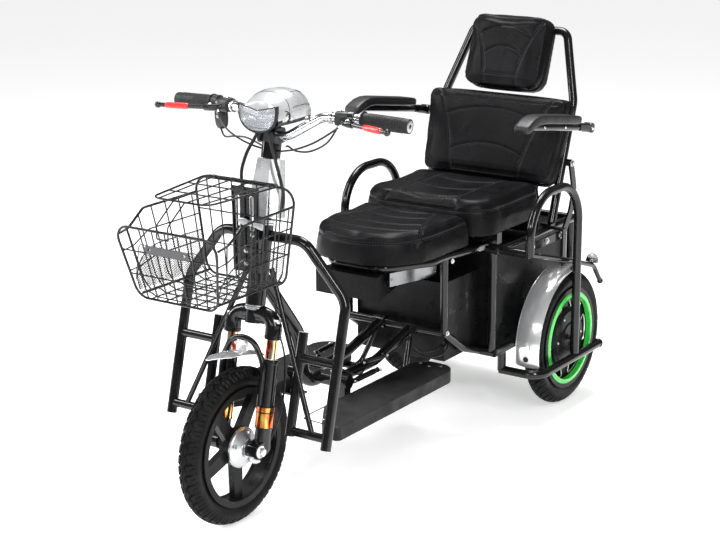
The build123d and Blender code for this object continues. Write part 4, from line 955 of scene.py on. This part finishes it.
def lens_ring(bm, grow, y):
    """The lens's edge grown by some millimetres, at a place along Y."""
    wide, tall = 1 + grow / LENS_HALF, 1 + grow / (LENS_HEIGHT / 2)
    return [
        bm.verts.new(mm(x * wide, y, LENS_LOW_Z + LENS_MIDDLE_Z + (z - LENS_MIDDLE_Z) * tall))
        for x, z in LENS_OUTLINE
    ]


LENS_OUTLINE = lens_outline()


def make_lamp_front():
    """A black rim round the lens, a bright bowl with its bulb behind it, and a small lamp on each side."""
    rim = bmesh.new()
    steps = ((0.3, 124), (0.3, 113.2), (1.4, 111.6), (3.2, 112.4), (3.6, 117), (2.6, 123.5))
    skin(rim, [lens_ring(rim, grow, y) for grow, y in steps])
    put("headlamp_rim", rim, "grip", "steering")

    bowl = bmesh.new()
    rings = [lens_ring(bowl, grow, y) for grow, y in ((0.2, 124.0), (-8, 130), (-16, 135), (-22, 138))]
    rings.append([bowl.verts.new(mm(0, 139, LENS_LOW_Z + LENS_MIDDLE_Z))])
    skin(bowl, rings)
    bulb = [(9, 0), (9, 3), (6, 4), (6, 8), (4, 10.5), (0, 11.5)]
    lathe(bowl, bulb, mm(0, 138, LENS_LOW_Z + 30), -Y_AXIS, 20)
    put("headlamp_bowl", bowl, "chrome", "steering", 30.0, GLOW)

    for side_name, side in SIDES.items():
        lamp = bmesh.new()
        facing = Vector((side * 0.86, -0.5, 0.06))
        place = mm(side * 52, 149, 955)
        lathe(lamp, [(13.6, -5), (13.6, 4.5), (12.6, 6.2), (10.8, 6.4), (10.4, 4.0)], place, facing, 32)
        lathe(lamp, [(10.6, 4.2), (9.0, 5.8), (5.0, 7.0), (0, 7.4)], place, facing, 32, 1)
        put("side_lamp_" + side_name, lamp, "grip", "steering", 40.0, others=(GLOW,))


make_lamp_housing()
make_lamp_front()

# ================================================================ handlebar
GRIP_INNER = (200, 224, 952)
GRIP_OUTER = (331, 235, 947)
LEVER_ROOT = (212, 186, 946)
LEVER_TIP = (331, 151, 946)
SLEEVE = ((0.36, 5.6), (0.37, 6.8), (0.40, 7.4), (0.55, 7.6), (0.7, 7.4), (0.80, 7.0), (0.83, 6.4), (0.84, 5.6))
SWITCH_BOX = ((34, 13.5), (36, 17.0), (44, 18.4), (62, 18.6), (66, 17.4), (67, 14.0))
GRIP_COLLAR = [(17, 0), (20.5, 0.4), (20.5, 3.4), (17.4, 4.4)]
GRIP_RIB = [(16.6, 0), (17.7, 0.9), (17.7, 3.4), (16.6, 4.3)]
GRIP_RIBS = 13


def dress_handlebar(side_name, side):
    """Red sleeve on the lever, ribs and an end disc on the grip, and the switch housing beside it."""
    root, tip = sided(LEVER_ROOT, side), sided(LEVER_TIP, side)
    sleeve = bmesh.new()
    tube(sleeve, [root.lerp(tip, share) for share, _ in SLEEVE], [radius for _, radius in SLEEVE], 20)
    put("lever_sleeve_" + side_name, sleeve, "lever", "steering", material=RED)

    inner, outer = sided(GRIP_INNER, side), sided(GRIP_OUTER, side)
    along = (outer - inner).normalized()
    grip = bmesh.new()
    lathe(grip, GRIP_COLLAR, inner + along * 0.0165, along, 36)
    for index in range(GRIP_RIBS):
        lathe(grip, GRIP_RIB, inner + along * (0.034 + index * 0.0068), along, 36)
    put("grip_ribs_" + side_name, grip, "grip", "steering")

    cap = bmesh.new()
    end = inner + along * 0.1366
    lathe(cap, [(14.0, 0), (14.0, 0.8), (12.8, 1.3), (5.2, 1.3)], end, along, 32)
    lathe(cap, [(5.2, 1.3), (4.6, 0.3), (0, 0.3)], end, along, 24, 1)
    put("grip_end_" + side_name, cap, "alloy", "steering", 30.0, others=(MATERIALS["grip"],))

    housing = bmesh.new()
    bar_in = mm(side * 120, 200, 952)
    toward = (inner - bar_in).normalized()
    stations = [(bar_in + toward * (run / 1000), Z_AXIS, half, half * 0.92) for run, half in SWITCH_BOX]
    bar_along(housing, stations, toward.cross(Z_AXIS).normalized(), 3.4, 32)
    for run in (0.046, 0.056):
        bolt(housing, bar_in + toward * run + Vector((0, -0.004, 0.0175)), Z_AXIS, 3.6, 3.0, True, 1)
    clamp = [(13, 0), (14.2, 0.8), (14.2, 7.2), (13, 8)]
    lathe(housing, clamp, bar_in + toward * 0.018, toward, 28, 1)
    put("switch_housing_" + side_name, housing, "grip", "steering", 40.0, SWITCH_GREY, (STEEL,))

    perch = bmesh.new()
    line = [sided(point, side) for point in ((176, 206, 950), (184, 196, 947), (198, 189, 946), (214, 186, 946))]
    tube(perch, smooth_line(line, 4), 8.5, 14)
    bolt(perch, mm(side * 200, 188, 954), Z_AXIS, 5.0, 3.5, True, 1)
    put("lever_perch_" + side_name, perch, "lever", "steering", others=(STEEL,))


for side_name, side in SIDES.items():
    dress_handlebar(side_name, side)


def make_thumb_switch():
    """The pod that hangs under the right grip's inner end."""
    pod = bmesh.new()
    spine = (
        (940, 238, 8), (937, 238, 12), (928, 238, 14.5), (912, 239, 15), (896, 240, 13.5), (888, 240.5, 10),
        (886, 240.5, 6),
    )
    bar_along(pod, [(mm(-207, y, z), Y_AXIS, half, half * 0.8) for z, y, half in spine], X_AXIS, 4.5, 28)
    lathe(pod, [(17, -9), (19.6, -8), (19.6, 8), (17, 9)], mm(-207, 225, 951), X_AXIS, 32)
    lathe(pod, [(5, 0), (5, 2.2), (4.2, 3.0), (0, 3.2)], mm(-207, 226.5, 918), -Y_AXIS, 20, 1)
    put("thumb_switch", pod, "grip", "steering", 40.0, SWITCH_GREY, (MATERIALS["alloy"],))


def make_bar_cables():
    """Thin lever cables that bow under the bar to the stem, with their ferrules and clips."""
    cables = bmesh.new()
    for route in (
        [(182, 196, 944), (166, 172, 926), (132, 150, 902), (88, 142, 884), (46, 148, 874), (24, 168, 868)],
        [(170, 200, 942), (150, 178, 900), (112, 164, 878), (76, 158, 876), (52, 160, 884), (34, 176, 878)],
        [(-182, 196, 944), (-158, 172, 926), (-118, 152, 906), (-78, 146, 890), (-44, 150, 878), (-24, 168, 868)],
        [(-205, 232, 890), (-186, 224, 872), (-140, 204, 880), (-92, 190, 884), (-44, 184, 872), (-22, 176, 864)],
    ):
        cord(cables, route, 2.2)
    put("bar_cables", cables, "cable", "steering")
    ferrules = bmesh.new()
    clip = [(11.2, -5), (13, -4), (13, 4), (11.2, 5)]
    for side in SIDES.values():
        tube(ferrules, [mm(side * 182, 196, 944), mm(side * 174, 185, 936)], 3.6, 12)
        lathe(ferrules, clip, mm(side * 92, 187, 941), Vector((side * 0.8, 0.35, 0.28)), 24)
    put("cable_ferrules", ferrules, "steel", "steering")


make_thumb_switch()
make_bar_cables()

# ================================================================ basket trim
BASKET_LOW_Z = 582.0
BASKET_RIM_Z = 752.0
BASKET_BACK_Z = 812.0
BASKET_FRONT_Y = (-184.0, -222.0)
BASKET_HALF = (113.0, 147.0)
BASKET_BACK_Y = 57.0
NET_LOW_Z = 594.0
NET_PITCH = 5.5
NET_WIRE = 0.5
FRONT_NET = (200.0, 118.0)
SIDE_NET = (228.0, 88.0)


def front_lean(z):
    """Where the leaning front of the basket is at a height."""
    share = (z - BASKET_LOW_Z) / (BASKET_RIM_Z - BASKET_LOW_Z)
    return BASKET_FRONT_Y[0] + (BASKET_FRONT_Y[1] - BASKET_FRONT_Y[0]) * share


def basket_half(z, rim_z):
    """The basket's half width at a height, where its rim is at rim_z."""
    share = (z - BASKET_LOW_Z) / (rim_z - BASKET_LOW_Z)
    return BASKET_HALF[0] + (BASKET_HALF[1] - BASKET_HALF[0]) * share


def net(bm, place, size, reach):
    """Fine crossed wires over a panel. The function reach says how much of the height is covered."""
    wide, tall = size
    step = NET_PITCH / 2
    for slope in (1, -1):
        for index in range(-int(tall / NET_PITCH) - 1, int((wide + tall) / NET_PITCH) + 2):
            run = []
            rise = 0.0
            while rise <= tall:
                along = index * NET_PITCH + slope * rise
                inside = 0 <= along <= wide and rise <= tall * reach(along / wide)
                if inside:
                    run.append(place(along, rise))
                if run and (not inside or rise + step > tall):
                    if len(run) > 1:
                        tube(bm, run[::8] + ([run[-1]] if (len(run) - 1) % 8 else []), NET_WIRE, 3)
                    run = []
                rise += step


def front_reach(share):
    """The front net rises steeply from both corners and is cut level on top."""
    return min(1.0, 0.25 + 4.0 * share, 0.25 + 4.0 * (1 - share))


def side_reach(share):
    """The side net's arched edge."""
    low = min(1.0, share / 0.42)
    return math.sqrt(max(0.0, 1 - (1 - low) ** 2)) * 0.92 + 0.08 * low


def front_place(along, rise):
    """A place on the front net."""
    z = NET_LOW_Z + rise
    half = basket_half(z, BASKET_RIM_Z) - 7
    return mm((along / FRONT_NET[0] * 2 - 1) * half, front_lean(z) + 3.2, z)


def side_place(side, along, rise):
    """A place on a side net."""
    share = along / SIDE_NET[0]
    z = NET_LOW_Z + 4 + rise
    rim_z = BASKET_RIM_Z + (BASKET_BACK_Z - BASKET_RIM_Z) * share
    front_y = front_lean(z) + 6
    return mm(side * (basket_half(z, rim_z) - 4.0), front_y + (BASKET_BACK_Y - 5 - front_y) * share, z)


def line_basket():
    """Fine wire nets low on the front and both sides, and the arched wires that edge them."""
    front = bmesh.new()
    net(front, front_place, FRONT_NET, front_reach)
    put("basket_net_front", front, "wire", "frame", 60.0)

    edges = bmesh.new()
    wide, tall = FRONT_NET
    shares = (0, 0.06, 0.13, 0.19, 0.3, 0.5, 0.7, 0.81, 0.87, 0.94, 1)
    edge = [front_place(wide * share, tall * front_reach(share)) for share in shares]
    tube(edges, smooth_line(edge, 3), 1.1, 8)
    wide, tall = SIDE_NET
    shares = (0, 0.02, 0.06, 0.12, 0.2, 0.3, 0.42, 0.6, 0.8, 1)
    for side_name, side in SIDES.items():
        panel = bmesh.new()
        net(panel, lambda along, rise: side_place(side, along, rise), SIDE_NET, side_reach)
        put("basket_net_" + side_name, panel, "wire", "frame", 60.0)
        arch = [side_place(side, wide * share, tall * side_reach(share)) for share in shares]
        tube(edges, smooth_line(arch, 4), 1.4, 10)
    put("basket_net_edges", edges, "wire", "frame")


def make_blank_bar():
    """A blank grey bar with two round holes, fixed across the basket's front wires."""
    length, half, thickness = 63.0, 9.5, 2.4
    hole_x, hole_r = 50.0, 4.2
    middle_z = 706.0
    lean = (BASKET_FRONT_Y[1] - BASKET_FRONT_Y[0]) / (BASKET_RIM_Z - BASKET_LOW_Z)
    tilt = Vector((0, lean, 1)).normalized()
    face_out = Vector((0, -tilt.z, tilt.y))
    origin = mm(0, front_lean(middle_z) - 2.6, middle_z)
    bar = bmesh.new()

    def loop(points):
        corners = [bar.verts.new(origin + X_AXIS * (x / 1000) + tilt * (up / 1000)) for x, up in points]
        for one, two in zip(corners, corners[1:] + corners[:1]):
            bar.edges.new((one, two))

    outline = []
    for side in (1, -1):
        for step in range(17):
            turn = math.radians(-90 + 180 * step / 16)
            outline.append((side * (length - half + half * math.cos(turn)), side * half * math.sin(turn)))
    loop(outline)
    turns = [math.pi * step / 12 for step in range(24)]
    for side in (1, -1):
        loop([(side * hole_x + hole_r * math.cos(turn), hole_r * math.sin(turn)) for turn in turns])
    bmesh.ops.triangle_fill(bar, edges=bar.edges[:], use_beauty=True)
    grown = bmesh.ops.extrude_face_region(bar, geom=bar.faces[:] + bar.edges[:] + bar.verts[:])
    moved = [item for item in grown["geom"] if isinstance(item, bmesh.types.BMVert)]
    bmesh.ops.translate(bar, verts=moved, vec=face_out * (thickness / 1000))
    put("blank_bar", bar, "steel", "frame", 30.0, PLATE_GREY)


def make_basket_fittings():
    """Slot rims and bolts of the basket's plate, the quick-release lever and the lid's hinge sleeves."""
    fittings = bmesh.new()
    slot = both_sides([(0, -1), (0.8, -0.94), (1, -0.85), (1, 0), (1, 0.85), (0.8, 0.94), (0, 1)])
    for x in (-20, 20):
        cord(fittings, [(x + a * 5.2, 60.4, 740 + b * 41) for a, b in slot], 0.9, 2, 8)
    for x, z in ((-20, 690), (20, 690), (0, 650), (0, 620)):
        bolt(fittings, mm(x, 60.7, z), -Y_AXIS, 4.5, 4.0)
    put("plate_fittings", fittings, "steel", "frame")

    lever = bmesh.new()
    spine = (
        (-12, 52.5, 722, 4), (-6, 52, 722, 7.5), (6, 51.5, 721.5, 8.5), (18, 50.5, 720.5, 6.5), (40, 49, 718, 6),
        (56, 48, 716, 7.5), (62, 48, 715.2, 6.5), (64, 48, 715, 3),
    )
    bar_along(lever, [(mm(x, y, z), Y_AXIS, half, 3.2) for x, y, z, half in spine], Z_AXIS, 3.0)
    lathe(lever, [(8, 0), (8, 5), (6.5, 6.5), (0, 6.5)], mm(0, 55.5, 722), -Y_AXIS, 24)
    put("basket_lever", lever, "alloy", "frame")

    hinges = bmesh.new()
    for x in (-84, -28, 28, 84):
        lathe(hinges, [(3.6, -5), (4.4, -4), (4.4, 4), (3.6, 5)], mm(x, 57, 816.0), X_AXIS, 16)
    put("lid_hinge_sleeves", hinges, "wire", "frame")


line_basket()
make_blank_bar()
make_basket_fittings()

# ================================================================ fork trim
LEG_TRACK = 60
# Place up the steering axis, profile and count of sides of the rings round each leg.
DARK_RINGS = (
    (204, [(19.3, 0), (20.6, 1.5), (20.6, 7), (16.5, 10.5), (13.7, 11)], 36),
    (88, [(20.9, 0), (21.5, 0.4), (21.5, 2.8), (20.9, 3.2)], 40),
    (51.5, [(20.9, 0), (21.6, 0.6), (21.6, 2.2), (20.9, 2.8)], 40),
    (101.7, [(20.9, 0), (21.6, 0.6), (21.6, 2.2), (20.9, 2.8)], 40),
    (262, [(19.1, 0), (20.2, 1.0), (20.2, 6), (19.1, 7)], 40),
)
# Place up the steering axis, radius and height of the bearing rings below and above the head tube.
BEARING_RINGS = (
    (323.5, 22.6, 2.8), (327.5, 25.6, 2.8), (332.0, 24.0, 2.8),
    (524.5, 25.4, 2.6), (529.0, 23.6, 2.6), (533.0, 25.0, 2.6),
)
# Place across and up the steering axis, and radius, of one half of the fork's arched crown.
CROWN_ARCH = [
    (60, 268, 19.8), (60, 284, 19.8), (58.5, 294, 19.4), (53, 304, 18.8), (43, 312.5, 18.4), (28, 316.5, 18.2),
    (12, 317.5, 18.2),
]
BRAKE_DISC = [
    (47.5, 24.9), (45.5, 26.6), (43.0, 26.0), (41.0, 26.6), (24, 36.2), (21.5, 37.4), (20.6, 40.6), (17.0, 40.8),
]

BRAKE_CABLE = [
    (39.5, 43, 147), (58, 66, 200), (74, 84, 262), (76, 98, 330), (66, 112, 398), (42, 122, 452), (30, 128, 512),
]


def dress_fork():
    """Cap bolts, dust seals, sleeve grooves, bearing rings, the arched crown and axle washers."""
    bright, dark, crown = (bmesh.new() for _ in range(3))
    for side in SIDES.values():
        leg = side * LEG_TRACK
        cap = [(11.5, -8), (11.5, 0.5), (10.5, 2.0), (7.0, 2.4), (6.0, 1.0), (0, 1.0)]
        lathe(bright, cap, steer_point(side * 66.5, 308.5), STEER_DIR + X_AXIS * (side * 0.22), 32)
        wiper = [(14.6, 0), (15.4, 0.6), (15.4, 2.0), (13.7, 2.6)]
        lathe(bright, wiper, steer_point(leg, 214.5), STEER_DIR, 36)
        for along, profile, count in DARK_RINGS:
            lathe(dark, profile, steer_point(leg, along), STEER_DIR, count)
        hub_end = FRONT_HUB + X_AXIS * (side * 0.0762)
        lathe(bright, [(15, 0), (15, 1.6), (13.8, 2.2), (8, 2.2)], hub_end, X_AXIS * side, 32)
        lathe(bright, [(9.4, 8.8), (9.4, 10.4), (7.4, 11.6), (0, 11.8)], hub_end, X_AXIS * side, 24)
    for along, radius, high in BEARING_RINGS:
        ring = [(radius - 1.2, 0), (radius, 0.8), (radius, high), (radius - 1.2, high + 0.8)]
        lathe(bright, ring, steer_point(0, along), STEER_DIR, 40)
    arch = CROWN_ARCH + [(-x, along, radius) for x, along, radius in reversed(CROWN_ARCH)]
    tube(crown, [steer_point(x, along) for x, along, _ in arch], [radius for _, _, radius in arch], 32)
    for side in SIDES.values():
        collar = [(19.8, 0), (20.8, 0.6), (20.8, 4.6), (19.8, 5.4)]
        lathe(crown, collar, steer_point(side * LEG_TRACK, 265.5), STEER_DIR, 40)
    put("fork_crown_casting", crown, "frame_black", "steering")
    put("fork_bright_trim", bright, "chrome", "steering")
    put("fork_dark_trim", dark, "frame_black", "steering")


def dress_brake():
    """The drum brake's cast cover with its arm and cable, and the front mudguard's bracket."""
    brake = bmesh.new()
    lathe(brake, BRAKE_DISC, FRONT_HUB, X_AXIS, 64)
    boss = [(5.4, -3), (5.4, 0.6), (4.6, 1.4), (2.6, 1.4), (2.4, 0.2), (0, 0.2)]
    for turn in (60, 160, 290):
        lathe(brake, boss, wheel_point(FRONT_HUB, 1, 37, turn, 31), X_AXIS, 20)
    arm = ((35, 12, 160, 5.5), (37, 22, 151, 6.0), (38.5, 34, 146, 5.0), (39, 44, 145, 4.0))
    stations = [(mm(x, y, z), X_AXIS, half, 2.2) for x, y, z, half in arm]
    bar_along(brake, stations, Vector((0, 0.4, 1)).normalized(), 3.0, 20)
    put("brake_arm", brake, "alloy", "steering")

    hose = bmesh.new()
    cord(hose, BRAKE_CABLE, 2.4)
    put("brake_cable", hose, "cable", "steering")

    bracket = bmesh.new()
    for side in SIDES.values():
        tube(bracket, [mm(side * 3, 43, 443), mm(side * 17, 33, 431)], 3.4, 10)
        bolt(bracket, mm(side * 14, 33, 433.5), Vector((0, -0.4, 1)), 4.2, 3.0, True)
    put("mudguard_bracket", bracket, "chrome", "steering")


dress_fork()
dress_brake()

# ================================================================ fasteners and fittings
# Place on the left, radius and height of the hexagon heads that face outward.
FRAME_BOLTS = (
    ((234.2, 1005, 484), 6.5, 5.5),
    ((234.2, 1087, 483), 6.5, 5.5),
    ((234.2, 1167, 482), 6.5, 5.5),
    ((234.2, 1224, 676), 7.5, 6.5),
    ((160.8, 690, 310), 5.0, 4.0),
    ((65.2, 690, 310), 8.0, 5.0),
    ((160.8, 712, 500), 5.0, 4.0),
    ((286.2, 1170, 190), 8.0, 6.0),
)
BOARD_TOP_Z = 238
BOARD_BOLTS = ((150, 618), (176, 634), (118, 628), (150, 150))
BOARD_CORNERS = [(100, 132), (211, 124), (211, 610), (172, 652), (128, 652), (100, 624)]
LINK_ROD = (
    (0.0, 0.6), (0.02, 0.9), (0.10, 0.9), (0.12, 0.55), (0.16, 0.55), (0.18, 1.0), (0.82, 1.0), (0.84, 0.55),
    (0.88, 0.55), (0.90, 0.9), (0.98, 0.9), (1.0, 0.6),
)
LAMP_STAND = Vector((0, 0.3088, 0.9511))
LAMP_DOME = [
    (8, -1), (16.0, 0), (18.8, 1.2), (18.8, 4.6), (17.6, 5.4), (18.4, 7.0), (17.2, 8.8), (17.8, 10.4), (16.6, 12.2),
    (15.8, 16), (13.6, 20), (10.2, 23.6), (5.4, 26.0), (0, 26.8),
]


def scatter_bolts():
    """Hexagon heads on the frame and dome heads on the footboards, the same on both sides."""
    heads = bmesh.new()
    for place, radius, height in FRAME_BOLTS:
        for side in SIDES.values():
            bolt(heads, sided(place, side), X_AXIS * side, radius, height)
    for x, y in BOARD_BOLTS:
        for side in SIDES.values():
            bolt(heads, mm(side * x, y, BOARD_TOP_Z + 0.1), Z_AXIS, 4.6, 2.6, True)
    put("frame_bolts", heads, "steel", "frame")


def dress_mudguards():
    """A black bolt near the lower end of each rear mudguard, and a rolled lip along its edges."""
    heads, lips = bmesh.new(), bmesh.new()
    for hub in REAR_HUBS.values():
        low = wheel_point(hub, 1, 208.6, 183.5, 0)
        bolt(heads, low, low - hub, 5.8, 4.0)
        for x in (-35.2, 35.2):
            tube(lips, [wheel_point(hub, 1, 201, 81 + 108 * step / 55, x) for step in range(56)], 1.6, 8)
    put("mudguard_bolts", heads, "cable", "frame")
    put("mudguard_lips", lips, "chrome", "frame")


def make_side_plate():
    """A polished blank plate hung on the left of the controller box, and a latch behind it."""
    plate = bmesh.new()
    corners = [(515, 503), (735, 477), (735, 445), (515, 468)]
    rings = [[plate.verts.new(mm(x, y, z)) for y, z in corners] for x in (96.2, 97.6)]
    skin(plate, rings)
    for ring in rings:
        plate.faces.new(ring)
    for y, z in ((524, 485), (728, 460)):
        bolt(plate, mm(98.2, y, z), X_AXIS, 3.5, 2.2, True)
    put("side_plate", plate, "steel", "frame", 30.0, MIRROR_GREY)

    latch = bmesh.new()
    spine = ((838, 3), (844, 6), (864, 7.5), (884, 6), (892, 3))
    bar_along(latch, [(mm(163.5, y, 503), X_AXIS, half, 3.5) for y, half in spine], Z_AXIS, 3.0)
    put("seat_latch", latch, "chrome", "frame")


def edge_boards():
    """A raised lip round each footboard's top."""
    lips = bmesh.new()
    for side in SIDES.values():
        line = []
        for (x1, y1), (x2, y2) in zip(BOARD_CORNERS, BOARD_CORNERS[1:] + BOARD_CORNERS[:1]):
            for share in (0.06, 0.3, 0.7, 0.94):
                line.append((side * (x1 + (x2 - x1) * share), y1 + (y2 - y1) * share, BOARD_TOP_Z))
        cord(lips, line + line[:1], 1.4, 4, 8)
    put("footboard_lips", lips, "board", "frame", material=MATERIALS["arm_pad"])


def make_link_rods():
    """Short rods with ball ends between the twin tubes and the footboard stays."""
    rods = bmesh.new()
    for side in SIDES.values():
        for start, end, radius in (((82, 372, 256), (92, 470, 262), 7.5), ((70, 430, 288), (80, 520, 284), 6.5)):
            low, high = sided(start, side), sided(end, side)
            radii = [radius * part for _, part in LINK_ROD]
            tube(rods, [low.lerp(high, share) for share, _ in LINK_ROD], radii, 20)
            for place in (low, high):
                bolt(rods, place + X_AXIS * (side * radius * 0.9 / 1000), X_AXIS * side, 4.2, 3.0, True, 1)
    put("link_rods", rods, "frame_black", "frame", others=(STEEL,))


def make_back_gap_shade():
    """A black panel that fills the gap between the rear cushion and the backrest: painted shade, a dark sheet that
    stands in for the shadow there.
    """
    panel = bmesh.new()
    rings = []
    for index, (y, z) in enumerate(((1138, 556), (1136, 590), (1138, 610), (1148, 622), (1160, 630))):
        half = 182 - 4 * index
        corners = ((-half, 0), (half, 0), (half, 3), (-half, 3))
        rings.append([panel.verts.new(mm(x, y + depth, z)) for x, depth in corners])
    skin(panel, rings)
    panel.faces.new(rings[0])
    panel.faces.new(rings[-1])
    # Painted shade: this dark sheet closes the gap so that it reads as shadow.
    put("back_gap_shade_panel", panel, "box_black", "frame")


def make_loose_wires():
    """Short wires clipped along the frame from the battery box to the twin tubes."""
    wires = bmesh.new()
    for route in (
        [(96, 716, 330), (118, 722, 288), (128, 704, 262), (120, 676, 258), (104, 652, 262), (92, 640, 276)],
        [(104, 716, 322), (138, 730, 276), (144, 700, 250), (128, 664, 246), (108, 640, 256), (90, 628, 270)],
        [(60, 352, 290), (74, 410, 262), (60, 470, 266), (66, 540, 272), (76, 600, 288), (84, 660, 312)],
    ):
        cord(wires, route, 2.3)
    put("frame_wires", wires, "cable", "frame")


def make_lamp_domes():
    """Ribbed bullet lamps on the curved stays behind the wheels."""
    for side_name, side in SIDES.items():
        dome = bmesh.new()
        foot = mm(side * 270, 1290, 373.5) + LAMP_STAND * 0.0073
        lathe(dome, LAMP_DOME, foot, LAMP_STAND, 48)
        for face in dome.faces:
            if (face.calc_center_median() - foot).dot(LAMP_STAND) > 0.013:
                face.material_index = 1
        piece = put("rear_lamp_" + side_name, dome, "lamp", "frame", 40.0, SMOKED, (MATERIALS["lamp"],))
        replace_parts(piece, "rear_lamps")


scatter_bolts()
dress_mudguards()
make_side_plate()
edge_boards()
make_link_rods()
make_back_gap_shade()
make_loose_wires()
make_lamp_domes()

# ================================================================ camera, floor and light
VIEW_AZIMUTH = 34.53
VIEW_DROP = 15.58
VIEW_ROLL = -0.34
CAMERA_PLACE = Vector((2.361, FRONT_HUB.y - 2.907, 1.657))
FOCAL_MM = 84.83
SENSOR_MM = 36.0
LIT_POINT = Vector((0, 0, 0.5))
FLOOR_RADIUS = 14.0
# Name, place, size and power of each soft light.
AREA_LIGHTS = (
    ("key", (2.8, -1.8, 2.6), (0.5, 2.6), 95),
    ("side", (-2.8, -1.4, 2.2), (0.4, 2.8), 85),
    ("front", (0.2, -4.2, 2.4), (2.6, 0.4), 60),
    ("top", (-0.4, 0.9, 3.4), (1.6, 1.4), 110),
)


def make_camera():
    """The viewer stands in front, to the vehicle's left, looking down a little."""
    turn, drop, roll = (math.radians(angle) for angle in (VIEW_AZIMUTH, VIEW_DROP, VIEW_ROLL))
    back = Vector((math.sin(turn) * math.cos(drop), -math.cos(turn) * math.cos(drop), math.sin(drop)))
    right = Vector((math.cos(turn), math.sin(turn), 0))
    up = back.cross(right)
    right, up = (
        right * math.cos(roll) + up * math.sin(roll),
        up * math.cos(roll) - right * math.sin(roll),
    )
    data = bpy.data.cameras.new("camera")
    data.lens = FOCAL_MM
    data.sensor_width = SENSOR_MM
    camera = bpy.data.objects.new("camera", data)
    camera.matrix_world = Matrix.Translation(CAMERA_PLACE) @ Matrix((right, up, back)).transposed().to_4x4()
    bpy.context.scene.collection.objects.link(camera)
    bpy.context.scene.camera = camera


def make_light(name, kind, power):
    """A new light in the scene."""
    data = bpy.data.lights.new(name, kind)
    data.energy = power
    light = bpy.data.objects.new(name, data)
    bpy.context.scene.collection.objects.link(light)
    return light


def make_studio():
    """A faint white surround, four soft area lights aimed at the vehicle and a broad light from above."""
    world = bpy.data.worlds.new("studio")
    world.use_nodes = True
    surround = world.node_tree.nodes["Background"]
    surround.inputs["Color"].default_value = (1, 1, 1, 1)
    surround.inputs["Strength"].default_value = 0.16
    bpy.context.scene.world = world
    bpy.context.scene.view_settings.view_transform = "Standard"
    for name, place, size, power in AREA_LIGHTS:
        light = make_light(name, "AREA", power)
        light.data.shape = "RECTANGLE"
        light.data.size, light.data.size_y = size
        light.location = place
        light.rotation_euler = (LIT_POINT - Vector(place)).to_track_quat("-Z", "Y").to_euler()
    sky = make_light("sky", "SUN", 1.0)
    sky.data.angle = math.radians(40)
    sky.rotation_euler = (math.radians(-18), math.radians(-14), 0)


def make_floor():
    """A wide white floor that glows a little, so that only soft shadows show."""
    bm = bmesh.new()
    bmesh.ops.create_circle(bm, cap_ends=True, segments=96, radius=FLOOR_RADIUS)
    mesh = bpy.data.meshes.new("floor")
    bm.to_mesh(mesh)
    bm.free()
    floor = bpy.data.objects.new("floor", mesh)
    white, glow = (0.93, 0.93, 0.93), (1, 1, 1, 1)
    material, _ = shader("floor_paper", white, 0.9, Emission_Color=glow, Emission_Strength=0.46)
    mesh.materials.append(material)
    bpy.context.scene.collection.objects.link(floor)


make_camera()
make_studio()
make_floor()
